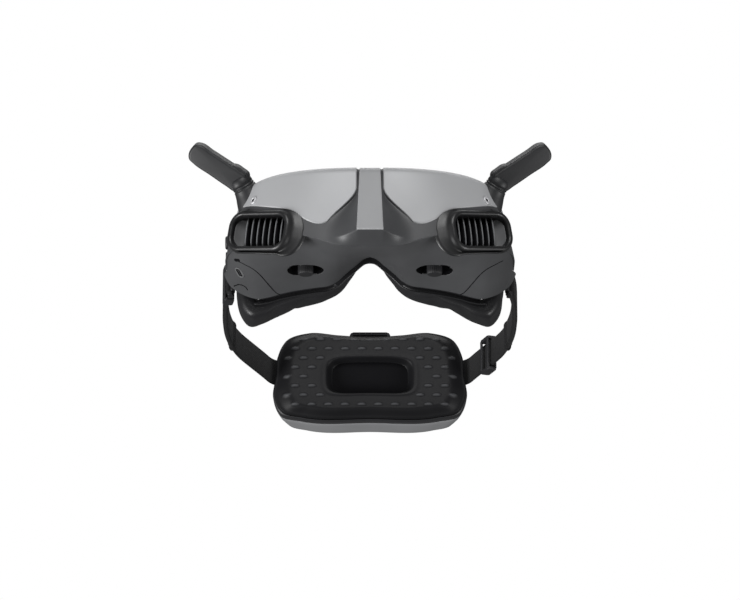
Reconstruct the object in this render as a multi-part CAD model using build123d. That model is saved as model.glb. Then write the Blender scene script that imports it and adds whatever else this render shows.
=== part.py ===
"""First-person-view goggles with folding antennas, adjustable eyepieces and a headband battery pack.

Frame: origin at the centre of the face seat, +X to the wearer's left, +Y to the back of the head, +Z up.
All sizes are in millimetres. "left" and "right" are the wearer's.
"""
import math
import os

from build123d import *

# ---- driving dimensions -------------------------------------------------------------------------
WALL = 2.2                 # shell wall
PANEL = 1.4                # visor panel thickness
GAP = 0.3                  # running gap between bodies

TOP_Z, MID_Z, BELT_Z, BASE_Z = 33.0, 12.0, -9.0, -29.0
REAR_Y, REAR_SIDE_Y = -18.0, -10.0       # back of the shell at the centre and at the temples
HALF_WIDTH = 85.0
SEAT_Y, SEAT_SIDE_Y = -4.0, 14.0         # back of the face foam at the centre and at the temples
FRAME_T = 3.0                            # thickness of the rear frame

# shell outlines seen from above: half width, front at the centre, y where the sides run straight back
TOP_OUTLINE = (69.5, -75.0, -20.0)
MID_OUTLINE = (79.0, -77.0, -22.0)
BELT_OUTLINE = (HALF_WIDTH, -77.0, -24.0)
BASE_OUTLINE = (78.0, -29.0, -10.0)
OUTLINE_POWER = 2.5

# nose arch seen from the front, at the back of the shell: half outline from the apex down
NOSE_REAR = [(0, -2), (6, -4), (14.5, -12.4), (23, -19), (34, -22.5), (48, -25)]
NOSE_FRONT_DROP, NOSE_FRONT_Y, NOSE_REAR_Y = 15.0, -78.0, 6.0

# lenses
LENS_X, LENS_Z = 32.0, 4.0
BARREL_R, EYEPIECE_R = 14.5, 17.0
BARREL_FRONT_Y, EYEPIECE_Y, BARREL_REAR_Y = -46.0, -34.0, -22.0
RAIL_R, RAIL_Y, RAIL_DZ = 1.5, -52.0, 20.0
KNOB_X, KNOB_Y, KNOB_R = 37.5, -41.0, 4.5
SLOT_LENGTH, SLOT_WIDTH = 21.0, 9.8

# vents: centre and directions of the opening on the wearer's left
VENT_CENTRE = Vector(63.5, -60.5, 1.0)
VENT_ALONG = Vector(0.79, 0.59, 0.17).normalized()
VENT_OUT = Vector(0.60, -0.80, 0.0)
VENT_W, VENT_H, VENT_R = 44.0, 23.0, 9.0
VENT_RIM, VENT_PROUD, VENT_DEPTH = 2.6, 3.2, 7.0
FIN_COUNT, FIN_PITCH, FIN_T = 7, 4.3, 1.1

# screw of the left visor panel: centre of its head on the surface, and the way it faces
SCREW_POINT = Vector(61.5, -61.2, 17.5)
SCREW_OUT = Vector(0.62, -0.74, 0.26).normalized()

# antennas, on the wearer's left: neck and blade directions, neck base and hinge pin
NECK_BASE = Vector(72.6, -45.0, 29.9)
NECK_DIR = Vector(0.515, -0.406, 0.749).normalized()
BLADE_DIR = Vector(0.831, -0.182, 0.528).normalized()
NECK_R, JOURNAL_R, NECK_LENGTH = 6.4, 4.4, 9.0
BLADE_W, BLADE_T, BLADE_LENGTH = 13.8, 8.4, 31.0
PIN_R = 1.5

# headband
STRAP_Z, STRAP_H, STRAP_T = -6.0, 17.0, 1.6
PIVOT_Y, PIVOT_R = -2.0, 2.0
BAR_X, BAR_Y, BAR_R = 83.0, 10.5, 1.2
STRAP_ROUTE = [(83.0, 10.5), (86.6, 34), (88.2, 62), (88.2, 96), (84.0, 130), (67.5, 176), (63.2, 188.8),
               (55.5, 196.5)]
HEM_Y = 120.0              # where the doubled webbing ends

# battery pack
PACK_Z = -10.5
PAD_Y, PACK_FRONT_Y, PACK_SPLIT_Y, PACK_BACK_Y = 180.0, 190.0, 198.0, 220.0
PACK_BASE_Z, PACK_TOP_Z = -38.0, 17.0
PACK_OUTLINE = [(0, 17.0), (20, 18.2), (40, 19.6), (54, 14.5), (59.5, 3), (60.5, -10), (61.8, -22), (57, -33.5),
                (44, -37), (0, -38)]


# ---- helpers ------------------------------------------------------------------------------------
def both_sides(half):
    """Half outline with x >= 0, as a whole one from -x to +x."""
    return [(-x, v) for x, v in reversed(half) if x > 0] + [(x, v) for x, v in half]


def outline_points(outline, amount=0.0, count=12):
    """Points of a shell's front outline from the right side to the left, moved inwards by amount."""
    width, front, straight = outline
    width, depth = width - amount, straight - front - amount
    points = []
    for i in range(-count, count + 1):
        turn = i / count * math.pi / 2
        x = width * math.copysign(abs(math.sin(turn)) ** (2 / OUTLINE_POWER), turn)
        points.append((x, straight - depth * abs(math.cos(turn)) ** (2 / OUTLINE_POWER)))
    points[0], points[-1] = (-width, straight), (width, straight)
    return points


def plan_face(outline, z, amount=0.0):
    """Face of a shell outline at height z, closed across the back."""
    pts = outline_points(outline, amount)
    back = REAR_SIDE_Y + 14
    with BuildSketch(Plane.XY.offset(z)) as sketch:
        with BuildLine():
            front = Spline(*pts, tangents=[(0, -1), (0, 1)])
            Polyline(front @ 1, (pts[-1][0], back), (pts[0][0], back), front @ 0)
        make_face()
    return sketch.sketch.face()


def front_prism(points, y0, y1, smooth=True):
    """Closed outline seen from the front, given as (x, z) points, extruded from y0 to y1."""
    with BuildSketch(Plane.XZ) as sketch:
        with BuildLine():
            if smooth:
                Spline(*points, periodic=True)
            else:
                Polyline(*points, close=True)
        make_face()
    solid = extrude(sketch.sketch, amount=y1 - y0, dir=(0, 1, 0))
    return Pos(0, y0, 0) * solid


def arch_face(y, points):
    """Nose arch in the plane at y, closed far below."""
    low = -70.0
    pts = both_sides(points)
    with BuildSketch(Plane.XZ.offset(-y)) as sketch:
        with BuildLine():
            arch = Spline(*pts)
            Polyline(arch @ 1, (pts[-1][0], low), (pts[0][0], low), arch @ 0)
        make_face()
    return sketch.sketch.face()


def nose_cutter(grow=0.0):
    """Slanting tunnel for the nose. grow makes it larger all round, for the wall's inner face."""
    rear = [(x + grow * min(1, x / 10), z + grow) for x, z in NOSE_REAR]
    front = [(x, z - NOSE_FRONT_DROP) for x, z in rear]
    return loft([arch_face(NOSE_FRONT_Y, front), arch_face(NOSE_REAR_Y, rear)])


def upright_cylinder(through_mid, through_side, side_x, z0=-80, z1=80, offset=0.0):
    """Big upright cylinder whose near face passes (0, mid) and (side_x, side)."""
    rise = through_side - through_mid
    r = (side_x**2 + rise**2) / (2 * rise)
    return Pos(0, through_mid + r, (z0 + z1) / 2) * Cylinder(r + offset, z1 - z0)


def rod(start, direction, length, radius):
    """Round rod from start along direction."""
    plane = Plane(origin=start, z_dir=direction)
    return plane * Pos(0, 0, length / 2) * Cylinder(radius, length)


def mirrored(shape):
    """The same piece for the wearer's right side."""
    return mirror(shape, about=Plane.YZ)


def box(x0, x1, y0, y1, z0, z1):
    """Axis-aligned block between two corners."""
    return Pos((x0 + x1) / 2, (y0 + y1) / 2, (z0 + z1) / 2) * Box(x1 - x0, y1 - y0, z1 - z0)


def largest(shape):
    """The biggest solid of a shape, without its offcuts."""
    return shape.solids().sort_by(SortBy.VOLUME)[-1]


PARTS = {}


def keep(name, shape):
    """Names a finished piece."""
    PARTS[name] = shape


def keep_pair(name, shape):
    """Names a finished left piece and its mirrored twin."""
    keep(name + "_left", shape)
    keep(name + "_right", mirrored(shape))


# ---- goggle shells ------------------------------------------------------------------------------
def upper_solid(amount=0.0, open_below=False):
    """Solid of the upper housing, moved in by amount on every face but the back."""
    levels = [(TOP_OUTLINE, TOP_Z - amount), (MID_OUTLINE, MID_Z), (BELT_OUTLINE, BELT_Z)]
    solid = loft([plan_face(half, z, amount) for half, z in levels])
    if open_below:
        solid += extrude(plan_face(BELT_OUTLINE, BELT_Z, amount), amount=1.0, dir=(0, 0, -1))
    return solid


def lower_solid(amount=0.0):
    """Solid of the lower shell, with its sloping underside."""
    top, base = plan_face(BELT_OUTLINE, BELT_Z, amount), plan_face(BASE_OUTLINE, BASE_Z + amount, amount)
    return loft([top, base], ruled=True)


REAR_FACE = upright_cylinder(REAR_Y, REAR_SIDE_Y, HALF_WIDTH)
REAR_FRAME_FRONT = upright_cylinder(REAR_Y, REAR_SIDE_Y, HALF_WIDTH, offset=FRAME_T)
NOSE = nose_cutter()
NOSE_WALL = nose_cutter(WALL)


def visor_outline():
    """Silver panel on the wearer's left, seen from the front."""
    edge = [(13.4, 40), (13.4, 17), (28, 0.5), (33, -1.6), (38.5, -0.9), (44, 4.0), (50, 8.8), (62, 13.2), (73, 16.5),
            (90, 20), (90, 40)]
    return front_prism(edge, -95, -10, smooth=False)


def vent_plane(shift=0.0):
    """Working plane of the left vent: x along the opening, z outwards."""
    return Plane(origin=VENT_CENTRE + VENT_OUT * shift, x_dir=VENT_ALONG, z_dir=VENT_OUT)


def vent_block(grow=0.0, back=-VENT_DEPTH, front=VENT_PROUD):
    """Rounded block of the vent's outline, from back to front along its axis."""
    w, h, r = VENT_W + 2 * grow, VENT_H + 2 * grow, VENT_R + grow
    sketch = vent_plane(back) * RectangleRounded(w, h, r)
    return extrude(sketch, amount=front - back, dir=VENT_OUT)


def slot_cutter(x, y, length, width, z0, z1):
    """Obround slot along X, cut through the underside."""
    sketch = Pos(x, y, z0) * SlotOverall(length, width)
    return extrude(sketch, amount=z1 - z0)


def neck_hole():
    """Round hole in the shoulder for the left antenna's neck."""
    return rod(NECK_BASE - NECK_DIR * 14, NECK_DIR, 30, NECK_R + GAP)


def corner_outline():
    """Corner cover on the wearer's left, seen from the front."""
    return front_prism([(100, -9), (78, -10.5), (71, -13.6), (65, -17.5), (60, -22), (55, -30), (55, -45), (100, -45)],
                       -60, 0, smooth=False)


def make_shells():
    """Upper housing, lower shell, corner covers and silver visor panels."""
    outer = upper_solid() - NOSE
    hollow = upper_solid(WALL, open_below=True) - NOSE_WALL
    skin = upper_solid() - upper_solid(PANEL, open_below=True)
    panel = (skin & visor_outline()) - vent_block(0.25) - neck_hole() - REAR_FRAME_FRONT
    panel -= rod(SCREW_POINT - SCREW_OUT * 5, SCREW_OUT, 10, 1.9)
    recess = visor_outline()
    housing = outer - hollow - REAR_FRAME_FRONT
    lining = upper_solid(PANEL + 0.1, open_below=True) - upper_solid(PANEL + WALL, open_below=True)
    lining = lining - NOSE - REAR_FRAME_FRONT
    for flip in (False, True):
        place = mirrored if flip else (lambda s: s)
        housing = housing - place(recess) + (lining & place(recess))
        housing = housing - place(vent_block(0.15, back=-30, front=30)) - place(neck_hole())
        housing = housing - place(rod(SCREW_POINT - SCREW_OUT * 10, SCREW_OUT, 12, 1.1))
    ridge_hole = box(-7, 7, -95, -70, -6, 26)
    housing = housing - ridge_hole
    side_holes = [rod((-95, JOYSTICK[1], JOYSTICK[2]), (1, 0, 0), 25, JOYSTICK_R + 0.6),
                  rod((-95, BACK_BUTTON[1], BACK_BUTTON[2]), (1, 0, 0), 25, BACK_BUTTON_R + GAP),
                  rod((-95, JACK[1], JACK[2]), (1, 0, 0), 30, JACK_R + 0.05)]
    for hole in side_holes:
        housing -= hole
    lower = lower_solid() - NOSE - (lower_solid(WALL) - NOSE_WALL) - REAR_FRAME_FRONT
    lower += (upper_solid(WALL + GAP, open_below=True) & NOSE_WALL) - NOSE - REAR_FRAME_FRONT
    left_cover = lower & corner_outline()
    lower = lower - corner_outline() - mirrored(corner_outline())
    for sign in (1, -1):
        lower -= slot_cutter(sign * KNOB_X, KNOB_Y, SLOT_LENGTH, SLOT_WIDTH, -35, -12.5)
    right_cover = mirrored(left_cover) - usb_hole()
    lower = lower - mirrored(vent_block(0.15, back=-30, front=30)) - vent_block(0.15, back=-30, front=30)
    keep("main_housing", largest(housing))
    keep("lower_shell", largest(lower))
    keep("corner_cover_left", left_cover)
    keep("corner_cover_right", right_cover)
    keep_pair("visor_panel", panel)


def make_ridge():
    """Raised bridge down the middle of the front, with its undercut beak."""
    top = [(-12.8, -73.5), (-6, -79), (6, -79), (12.8, -73.5)]
    low = [(-19, -73.5), (-7.6, -92), (7.6, -92), (19, -73.5)]
    faces = []
    for points, z in ((top, TOP_Z), (low, -17.0)):
        with BuildSketch(Plane.XY.offset(z)) as sketch:
            with BuildLine():
                Polyline(*points, close=True)
            make_face()
        faces.append(sketch.sketch)
    ridge = loft(faces, ruled=True)
    ridge -= upper_solid() + lower_solid()
    under = Plane(origin=(0, -90, -11), x_dir=(1, 0, 0), z_dir=(0, -5, -15))
    ridge -= under * Pos(0, 0, 15) * Box(80, 80, 30)
    ridge -= box(-40, 40, -100, -90, -30, 40)
    plug = box(-6.8, 6.8, -77.5, -74.8, -5.8, 25.8)
    keep("centre_ridge", ridge.solids().sort_by(SortBy.VOLUME)[-1] + plug)


def make_vents():
    """Bezel ring and finned grille of each side vent."""
    ring = vent_block() - vent_block(-VENT_RIM, back=-VENT_DEPTH - 1, front=VENT_PROUD + 1)
    bezel = ring
    for edge_set in (bezel.edges().filter_by(lambda e: (e.center() - VENT_CENTRE).dot(VENT_OUT) > VENT_PROUD - 0.01),):
        bezel = fillet(edge_set, 0.9)
    inner_w, inner_h = VENT_W - 2 * VENT_RIM, VENT_H - 2 * VENT_RIM
    plane = vent_plane(-VENT_DEPTH)
    outline = plane * RectangleRounded(inner_w - 0.1, inner_h - 0.1, VENT_R - VENT_RIM - 0.05)
    frame = extrude(outline, amount=7.0, dir=VENT_OUT)
    window = plane * Pos(-3.2, 0, 0) * RectangleRounded(inner_w - 9.5, inner_h - 2.4, 4)
    frame -= extrude(window, amount=7.0, dir=VENT_OUT)
    for i in range(FIN_COUNT):
        x = -3.2 + (i - (FIN_COUNT - 1) / 2) * FIN_PITCH
        fin = plane * Pos(x, 0, 3.0) * Box(FIN_T, inner_h - 1.6, 6.0)
        frame += fin & extrude(outline, amount=7.0, dir=VENT_OUT)
    keep_pair("vent_bezel", bezel)
    keep_pair("vent_grille", frame)


def eye_opening(grow=0.0):
    """Opening of the rear frame and foam in front of both eyes, one lobe on the wearer's left."""
    g = grow
    points = [(7 - g, 6), (12 - g, 18 + g), (35, 22 + g), (56 + g, 15), (62 + g, -2), (57 + g, -17 - g),
              (40, -17.5 - g), (24, -13 - g), (13 - g, -4)]
    return front_prism(points, -60, 40)


def make_rear_frame():
    """Frame that closes the back of the shells and carries the face foam and the strap pivots."""
    body = upper_solid() + lower_solid() - NOSE
    frame = (body & REAR_FRAME_FRONT) - REAR_FACE
    for sign in (1, -1):
        frame -= Pos(sign * LENS_X, 0, LENS_Z) * Rot(90, 0, 0) * extrude(SlotOverall(2 * EYEPIECE_R + 10, 2 * EYEPIECE_R + 1),
                                                                        amount=60, both=True)
    frame = frame.solids().sort_by(SortBy.VOLUME)[-1]
    ear = box(78.6, 80.8, -14.5, PIVOT_Y, STRAP_Z - 6, STRAP_Z + 6)
    ear += Pos(79.7, PIVOT_Y, STRAP_Z) * Rot(0, 90, 0) * Cylinder(6, 2.2)
    ear -= rod((70, PIVOT_Y, STRAP_Z), (1, 0, 0), 30, PIVOT_R)
    keep("rear_frame", frame + ear + mirrored(ear))


def make_foam():
    """Soft face cushion, a ring with a nose notch."""
    outer = [(0, -1.5), (5, -3), (11.6, -11.4), (17.4, -18.8), (26, -24), (40, -26.6), (53, -30.4), (62.5, -34.4),
             (68.5, -35.6), (73.3, -31), (76, -20), (76.5, -2), (72, 18), (60, 29), (34, 32), (0, 32.5)]
    ring = outer + [(-x, z) for x, z in reversed(outer) if 0 < x]
    ring = ring[:-1] if ring[0] == ring[-1] else ring
    solid = front_prism(ring, -40, 30) & REAR_FACE
    solid -= upright_cylinder(SEAT_Y, SEAT_SIDE_Y, 76.0)
    opening = eye_opening(1.0)
    solid = solid - opening - mirrored(opening)
    solid -= box(-16, 16, -40, 30, 3.5, 17)
    keep("face_foam", solid)


# ---- optics -------------------------------------------------------------------------------------
def make_optics():
    """Bracket, rails, lens carriages, displays, lens barrels, lenses and diopter knobs."""
    rails = []
    for dz in (RAIL_DZ, -7.0):
        rails.append(rod((-58.4, RAIL_Y, LENS_Z + dz), (1, 0, 0), 116.8, RAIL_R))
    bracket = box(-36, 36, -65.5, -63.5, -5, 28.5) + box(-52, 52, -61.5, -59.8, 17.5, 28.5)
    bracket = bracket + box(-34, 34, -65, -59.8, 21, 28.5) + box(-58.4, 58.4, -61, -53.0, 26.4, 28.5)
    bracket += box(-1.5, 1.5, -65, RAIL_Y + 2.0, -7.5, 27)
    for sign in (1, -1):
        x0, x1 = sorted((sign * 55.4, sign * 58.4))
        bracket += box(x0, x1, -54.3, RAIL_Y + 2.0, -7.5, 28.5)
    bracket = (bracket & upper_solid(PANEL + WALL + 0.4)) - rails[0] - rails[1]
    carriage = box(LENS_X - 19, LENS_X + 19, -55, -49.2, LENS_Z - 17, LENS_Z + 22)
    carriage -= rod((LENS_X, -60, LENS_Z), (0, 1, 0), 20, BARREL_R - 2.5)
    carriage += box(LENS_X - 18, LENS_X + 18, -49.2, -44, LENS_Z - 16, LENS_Z + 18)
    carriage -= rod((LENS_X, -49.2, LENS_Z), (0, 1, 0), 20, BARREL_R + GAP)
    carriage -= box(LENS_X - 20, LENS_X + 20, -50, -40, LENS_Z + 16.5, LENS_Z + 30)
    carriage -= box(LENS_X - 20, LENS_X - 17.5, -56, -43, LENS_Z - 18, LENS_Z - 15.5)
    carriage += box(KNOB_X - 5.5, KNOB_X + 5.5, -49.2, KNOB_Y + 4, -12.9, -11.7)
    carriage -= rod((KNOB_X, KNOB_Y, -20), (0, 0, 1), 12, 2.3)
    for rail_z in (LENS_Z + RAIL_DZ, LENS_Z - 7.0):
        carriage -= rod((0, RAIL_Y, rail_z), (1, 0, 0), 80, RAIL_R + GAP)
    display = box(LENS_X - 9, LENS_X + 9, -58.2, -55, LENS_Z - 8, LENS_Z + 8)
    display += box(LENS_X - 11, LENS_X + 11, -59.6, -58.2, LENS_Z - 10, LENS_Z + 10)
    barrel = rod((LENS_X, BARREL_FRONT_Y, LENS_Z), (0, 1, 0), EYEPIECE_Y - BARREL_FRONT_Y, BARREL_R)
    barrel += rod((LENS_X, EYEPIECE_Y, LENS_Z), (0, 1, 0), BARREL_REAR_Y - EYEPIECE_Y, EYEPIECE_R)
    barrel -= rod((LENS_X, BARREL_FRONT_Y - 1, LENS_Z), (0, 1, 0), 40, BARREL_R - 2.3)
    barrel -= rod((LENS_X, -30.0, LENS_Z), (0, 1, 0), 10, EYEPIECE_R - 1.8)
    lens_disc = rod((LENS_X, -29.9, LENS_Z), (0, 1, 0), 5.5, EYEPIECE_R - 1.9)
    dome_r = 60.0
    dome = Pos(LENS_X, -24.6 - dome_r, LENS_Z) * Sphere(dome_r)
    lens = lens_disc & dome
    knob = rod((KNOB_X, KNOB_Y, -13.2), (0, 0, -1), 9.6, KNOB_R)
    knob = fillet(knob.edges().filter_by(GeomType.CIRCLE).sort_by(Axis.Z)[0], 0.8)
    knob -= box(KNOB_X - 6, KNOB_X - 1.1, KNOB_Y - 6, KNOB_Y + 6, -25, -21.6)
    knob -= box(KNOB_X + 1.1, KNOB_X + 6, KNOB_Y - 6, KNOB_Y + 6, -25, -21.6)
    knob += rod((KNOB_X, KNOB_Y, -13.2), (0, 0, 1), 2.0, 2.0)
    keep("optics_bracket", bracket)
    keep("ipd_rails", Compound(rails))
    keep_pair("lens_carriage", carriage)
    keep_pair("display", display)
    keep_pair("lens_barrel", barrel)
    keep_pair("lens", lens)
    keep_pair("diopter_knob", knob)


# ---- electronics, ports and buttons -------------------------------------------------------------
JOYSTICK = (-82.2, -31.0, 2.0)
JOYSTICK_R = 4.2
BACK_BUTTON = (-79.4, -19.5, 8.0)
BACK_BUTTON_R = 2.8
JACK = (-84.0, -25.0, -5.0)
JACK_R, JACK_BORE_R, JACK_LENGTH = 3.2, 1.8, 14.0
USB = Vector(-73.5, -33.0, -14.5)
USB_OUT = Vector(-0.42, -0.36, -0.83).normalized()
USB_ALONG = Vector(0.25, -0.92, 0.28).normalized()


def usb_plane(shift=0.0):
    """Working plane of the data socket's mouth."""
    return Plane(origin=USB + USB_OUT * shift, x_dir=USB_ALONG, z_dir=USB_OUT)


def usb_hole():
    """Clear path for the data socket through the right corner cover."""
    return extrude(usb_plane(-8) * SlotOverall(9.7, 3.9), amount=16, dir=USB_OUT)


def make_electronics():
    """Main board, cooler with its blower wheel, sockets, side buttons and five-way button."""
    board = box(-50, 50, -71.0, -69.4, 2, 24) & upper_solid(PANEL + WALL + 0.4)
    for x, z, w, h in ((-22, 12, 14, 14), (22, 12, 12, 12), (0, 8, 10, 8)):
        board += box(x - w / 2, x + w / 2, -69.4, -68.2, z - h / 2, z + h / 2)
    keep("main_board", board)
    fan_y, fan_z = -37.2, 20.0
    cooler = box(-12.5, 12.5, fan_y - 12.5, fan_y + 12.5, fan_z + 1.0, fan_z + 9.0)
    cooler -= Pos(0, fan_y, fan_z + 5.8) * Cylinder(10.8, 7.0)
    cooler += Pos(0, fan_y, fan_z + 3.1) * Cylinder(1.2, 4.2)
    for i in range(7):
        x = -10.5 + i * 3.5
        cooler += box(x - 0.5, x + 0.5, fan_y + 12.5, fan_y + 15.6, fan_z + 1, fan_z + 8)
    cooler += box(-12, 12, fan_y + 12.5, fan_y + 15.6, fan_z + 1, fan_z + 2)
    keep("cooler", cooler)
    hub_z = fan_z + 6.0
    rotor = Pos(0, fan_y, hub_z) * (Cylinder(4.5, 4.6) - Cylinder(1.25, 10))
    for i in range(9):
        rotor += Pos(0, fan_y, hub_z) * Rot(0, 0, 40 * i) * Pos(7.0, 0, 0) * Rot(0, 0, 25) * Box(5.6, 0.8, 4.0)
    keep("fan_rotor", rotor)
    shell = extrude(usb_plane(-7.0) * SlotOverall(9.4, 3.6), amount=6.6, dir=USB_OUT)
    shell -= extrude(usb_plane(-5.8) * SlotOverall(8.6, 2.8), amount=8, dir=USB_OUT)
    shell += extrude(usb_plane(-6.2) * Rectangle(6.4, 0.7), amount=4.8, dir=USB_OUT)
    keep("usb_port", shell)
    jack = rod((-84.6, JACK[1], JACK[2]), (1, 0, 0), JACK_LENGTH, JACK_R)
    jack -= rod((-90, JACK[1], JACK[2]), (1, 0, 0), 40, JACK_BORE_R)
    keep("audio_jack", jack)
    back = rod((BACK_BUTTON[0] - 2.2, BACK_BUTTON[1], BACK_BUTTON[2]), (1, 0, 0), 5.0, BACK_BUTTON_R)
    back += rod((BACK_BUTTON[0] + 2.8, BACK_BUTTON[1], BACK_BUTTON[2]), (1, 0, 0), 1.0, BACK_BUTTON_R + 1.0)
    keep("back_button", back)
    x, y, z = JOYSTICK
    pivot = x + 7.1
    plunger = rod((x + 9.6, y, z), (1, 0, 0), 2.4, 5.2) - rod((x + 9.4, y, z), (1, 0, 0), 1.4, 3.6)
    for sign in (1, -1):
        plunger += box(x + 5.6, x + 9.8, y - 1.5, y + 1.5, *sorted((z + sign * 6.0, z + sign * 7.2)))
        plunger += box(x + 9.6, x + 12.0, y - 1.5, y + 1.5, *sorted((z, z + sign * 7.2)))
    plunger -= rod((pivot, y, z - 9), (0, 0, 1), 18, 0.62)
    keep("joystick_plunger", plunger)
    ring = rod((x + 5.6, y, z), (1, 0, 0), 3.0, 5.6) - rod((x, y, z), (1, 0, 0), 20, 4.4)
    for sign in (1, -1):
        ring += rod((pivot, y, z + sign * 5.2), (0, 0, sign), 2.1, 0.55)
    ring -= rod((pivot, y - 9, z), (0, 1, 0), 18, 0.62)
    keep("joystick_ring", ring)
    cap = rod((x - 2.6, y, z), (1, 0, 0), 2.9, JOYSTICK_R - 0.2)
    cap = fillet(cap.edges().filter_by(GeomType.CIRCLE).sort_by(Axis.X)[0], 1.2)
    cap += rod((x + 0.3, y, z), (1, 0, 0), 8.2, 2.0)
    cap += rod((pivot, y - 5.5, z), (0, 1, 0), 11, 0.55)
    keep("joystick_cap", cap)


def make_screws():
    """Visible screws that hold the visor panels."""
    head = rod(SCREW_POINT - SCREW_OUT * 1.2, SCREW_OUT, 1.4, 1.75)
    head -= rod(SCREW_POINT - SCREW_OUT * 0.6, SCREW_OUT, 2.0, 0.8)
    head += rod(SCREW_POINT - SCREW_OUT * 7.2, SCREW_OUT, 6.0, 1.0)
    keep("visor_screws", Compound([head, mirrored(head)]))


# ---- antennas -----------------------------------------------------------------------------------
def make_antennas():
    """Sockets, necks, hinge pins, blades and the radiating elements inside them."""
    shoulder = NECK_BASE + NECK_DIR * 5.6
    pin_centre = shoulder + BLADE_DIR * 3.5
    pin_dir = NECK_DIR.cross(BLADE_DIR).normalized()
    socket = rod(NECK_BASE - NECK_DIR * 10.5, NECK_DIR, 8.0, JOURNAL_R + 1.8)
    socket -= rod(NECK_BASE - NECK_DIR * 12, NECK_DIR, 12.0, JOURNAL_R + 0.05)
    neck = rod(NECK_BASE - NECK_DIR * 2.2, NECK_DIR, 12.0, NECK_R)
    saddle = Plane(origin=pin_centre, x_dir=BLADE_DIR, z_dir=pin_dir)
    fork_reach = BLADE_W / 2 + GAP
    neck -= saddle * Cylinder(fork_reach, 40)
    tongue_body = saddle * Cylinder(5.4, 3.6)
    bridge = Plane(origin=pin_centre, x_dir=NECK_DIR, z_dir=pin_dir) * Pos(-5.0, 0, 0) * Box(9.0, 8.0, 3.6)
    neck = neck.solids().sort_by(lambda s: (s.center() - NECK_BASE).length)[0]
    neck = neck + tongue_body + bridge
    neck += rod(NECK_BASE - NECK_DIR * 10.2, NECK_DIR, 8.2, JOURNAL_R)
    neck -= saddle * Cylinder(PIN_R, 20)
    pin = saddle * Cylinder(PIN_R, BLADE_T - 1.0)
    reach = BLADE_LENGTH - 2.9
    blade_sketch = saddle * (Pos(reach / 2 - 2.0, 0) * RectangleRounded(reach + 4.0, BLADE_W, 5.2) + Circle(BLADE_W / 2))
    blade = extrude(blade_sketch, amount=BLADE_T / 2, both=True)
    ends = blade.edges().filter_by(lambda e: abs(abs((e.center() - pin_centre).dot(pin_dir)) - BLADE_T / 2) < 0.01)
    blade = fillet(ends, 2.2)
    fork_slot = saddle * Pos(-6, 0, 0) * Box(26.0, 40, 4.2)
    cavity = saddle * Pos(BLADE_LENGTH / 2 + 3.0, 0, 0) * Box(17.0, 9.4, 4.4)
    blade = blade - fork_slot - cavity - saddle * Cylinder(PIN_R + 0.05, 30)
    element = saddle * Pos(BLADE_LENGTH / 2 + 3.0, 0, 0) * Box(16.0, 8.6, 1.2)
    keep("antenna_sockets", Compound([socket, mirrored(socket)]))
    keep_pair("antenna_knuckle", neck)
    keep("antenna_pins", Compound([pin, mirrored(pin)]))
    keep_pair("antenna_blade", blade)
    keep_pair("antenna_element", element)
    return pin_centre, pin_dir


# ---- headband -----------------------------------------------------------------------------------
def strap_band(points, thickness, height):
    """Upright band along straight runs joined by tangent arcs."""
    radii = []
    for i in range(1, len(points) - 1):
        a, b, c = (Vector(*points[i + k], 0) for k in (-1, 0, 1))
        run_in, run_out = b - a, c - b
        turn = math.radians(run_in.get_angle(run_out))
        radii.append(0.42 * min(run_in.length, run_out.length) / math.tan(turn / 2))
    line = FilletPolyline(*[(x, y, STRAP_Z) for x, y in points], radius=radii)
    start = Plane(origin=line @ 0, x_dir=(0, 0, 1), z_dir=line % 0)
    return sweep(start * Rectangle(height, thickness), path=line)


def make_headband():
    """Outriggers on their pivots, webbing, buckles."""
    pivots = []
    for sign in (1, -1):
        pin = rod((sign * 78.0, PIVOT_Y, STRAP_Z), (sign, 0, 0), 7.0, PIVOT_R - 0.05)
        pin += rod((sign * 84.2, PIVOT_Y, STRAP_Z), (sign, 0, 0), 0.9, 3.6)
        pivots.append(pin)
    keep("strap_pivots", Compound(pivots))
    plate = Pos(82.5, PIVOT_Y, STRAP_Z) * Rot(0, 90, 0) * Cylinder(6.6, 2.6)
    plate += box(81.2, 83.8, PIVOT_Y, PIVOT_Y + 8.8, STRAP_Z - 6.6, STRAP_Z + 6.6)
    plate += box(81.2, 84.4, 5.6, 8.0, STRAP_Z - 11, STRAP_Z + 11)
    for sign in (1, -1):
        z0 = STRAP_Z + sign * 10.0
        plate += box(81.2, 84.8, 5.6, 12.4, z0 - 1.1, z0 + 1.1)
    plate -= rod((70, PIVOT_Y, STRAP_Z), (1, 0, 0), 30, PIVOT_R + 0.03)
    plate -= box(79, 90, 8.0, 9.0, STRAP_Z - 8.9, STRAP_Z + 8.9)
    plate += Pos(BAR_X, BAR_Y + 0.6, STRAP_Z) * Cylinder(BAR_R, 19.0)
    keep_pair("outrigger", plate)
    single = strap_band(STRAP_ROUTE, STRAP_T, STRAP_H)
    doubled = strap_band(STRAP_ROUTE, 2 * STRAP_T, STRAP_H) & box(60, 100, 14.0, HEM_Y, -40, 40)
    doubled += strap_band(STRAP_ROUTE, 2 * STRAP_T + 1.0, STRAP_H + 2.0) & box(60, 100, HEM_Y - 2.5, HEM_Y, -40, 40)
    strap = single - box(60, 100, -20, 13.0, -40, 40) + doubled
    eye = Pos(BAR_X, BAR_Y + 0.6, STRAP_Z) * (Cylinder(3.0, STRAP_H) - Cylinder(BAR_R + 0.15, STRAP_H + 2))
    eye -= box(79, 90, 5, BAR_Y - 1.6, -40, 40)
    strap += box(BAR_X - 1.0, BAR_X + 2.2, BAR_Y + 2.6, 14.5, STRAP_Z - STRAP_H / 2, STRAP_Z + STRAP_H / 2)
    strap += eye
    keep_pair("strap", strap)
    return strap


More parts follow.
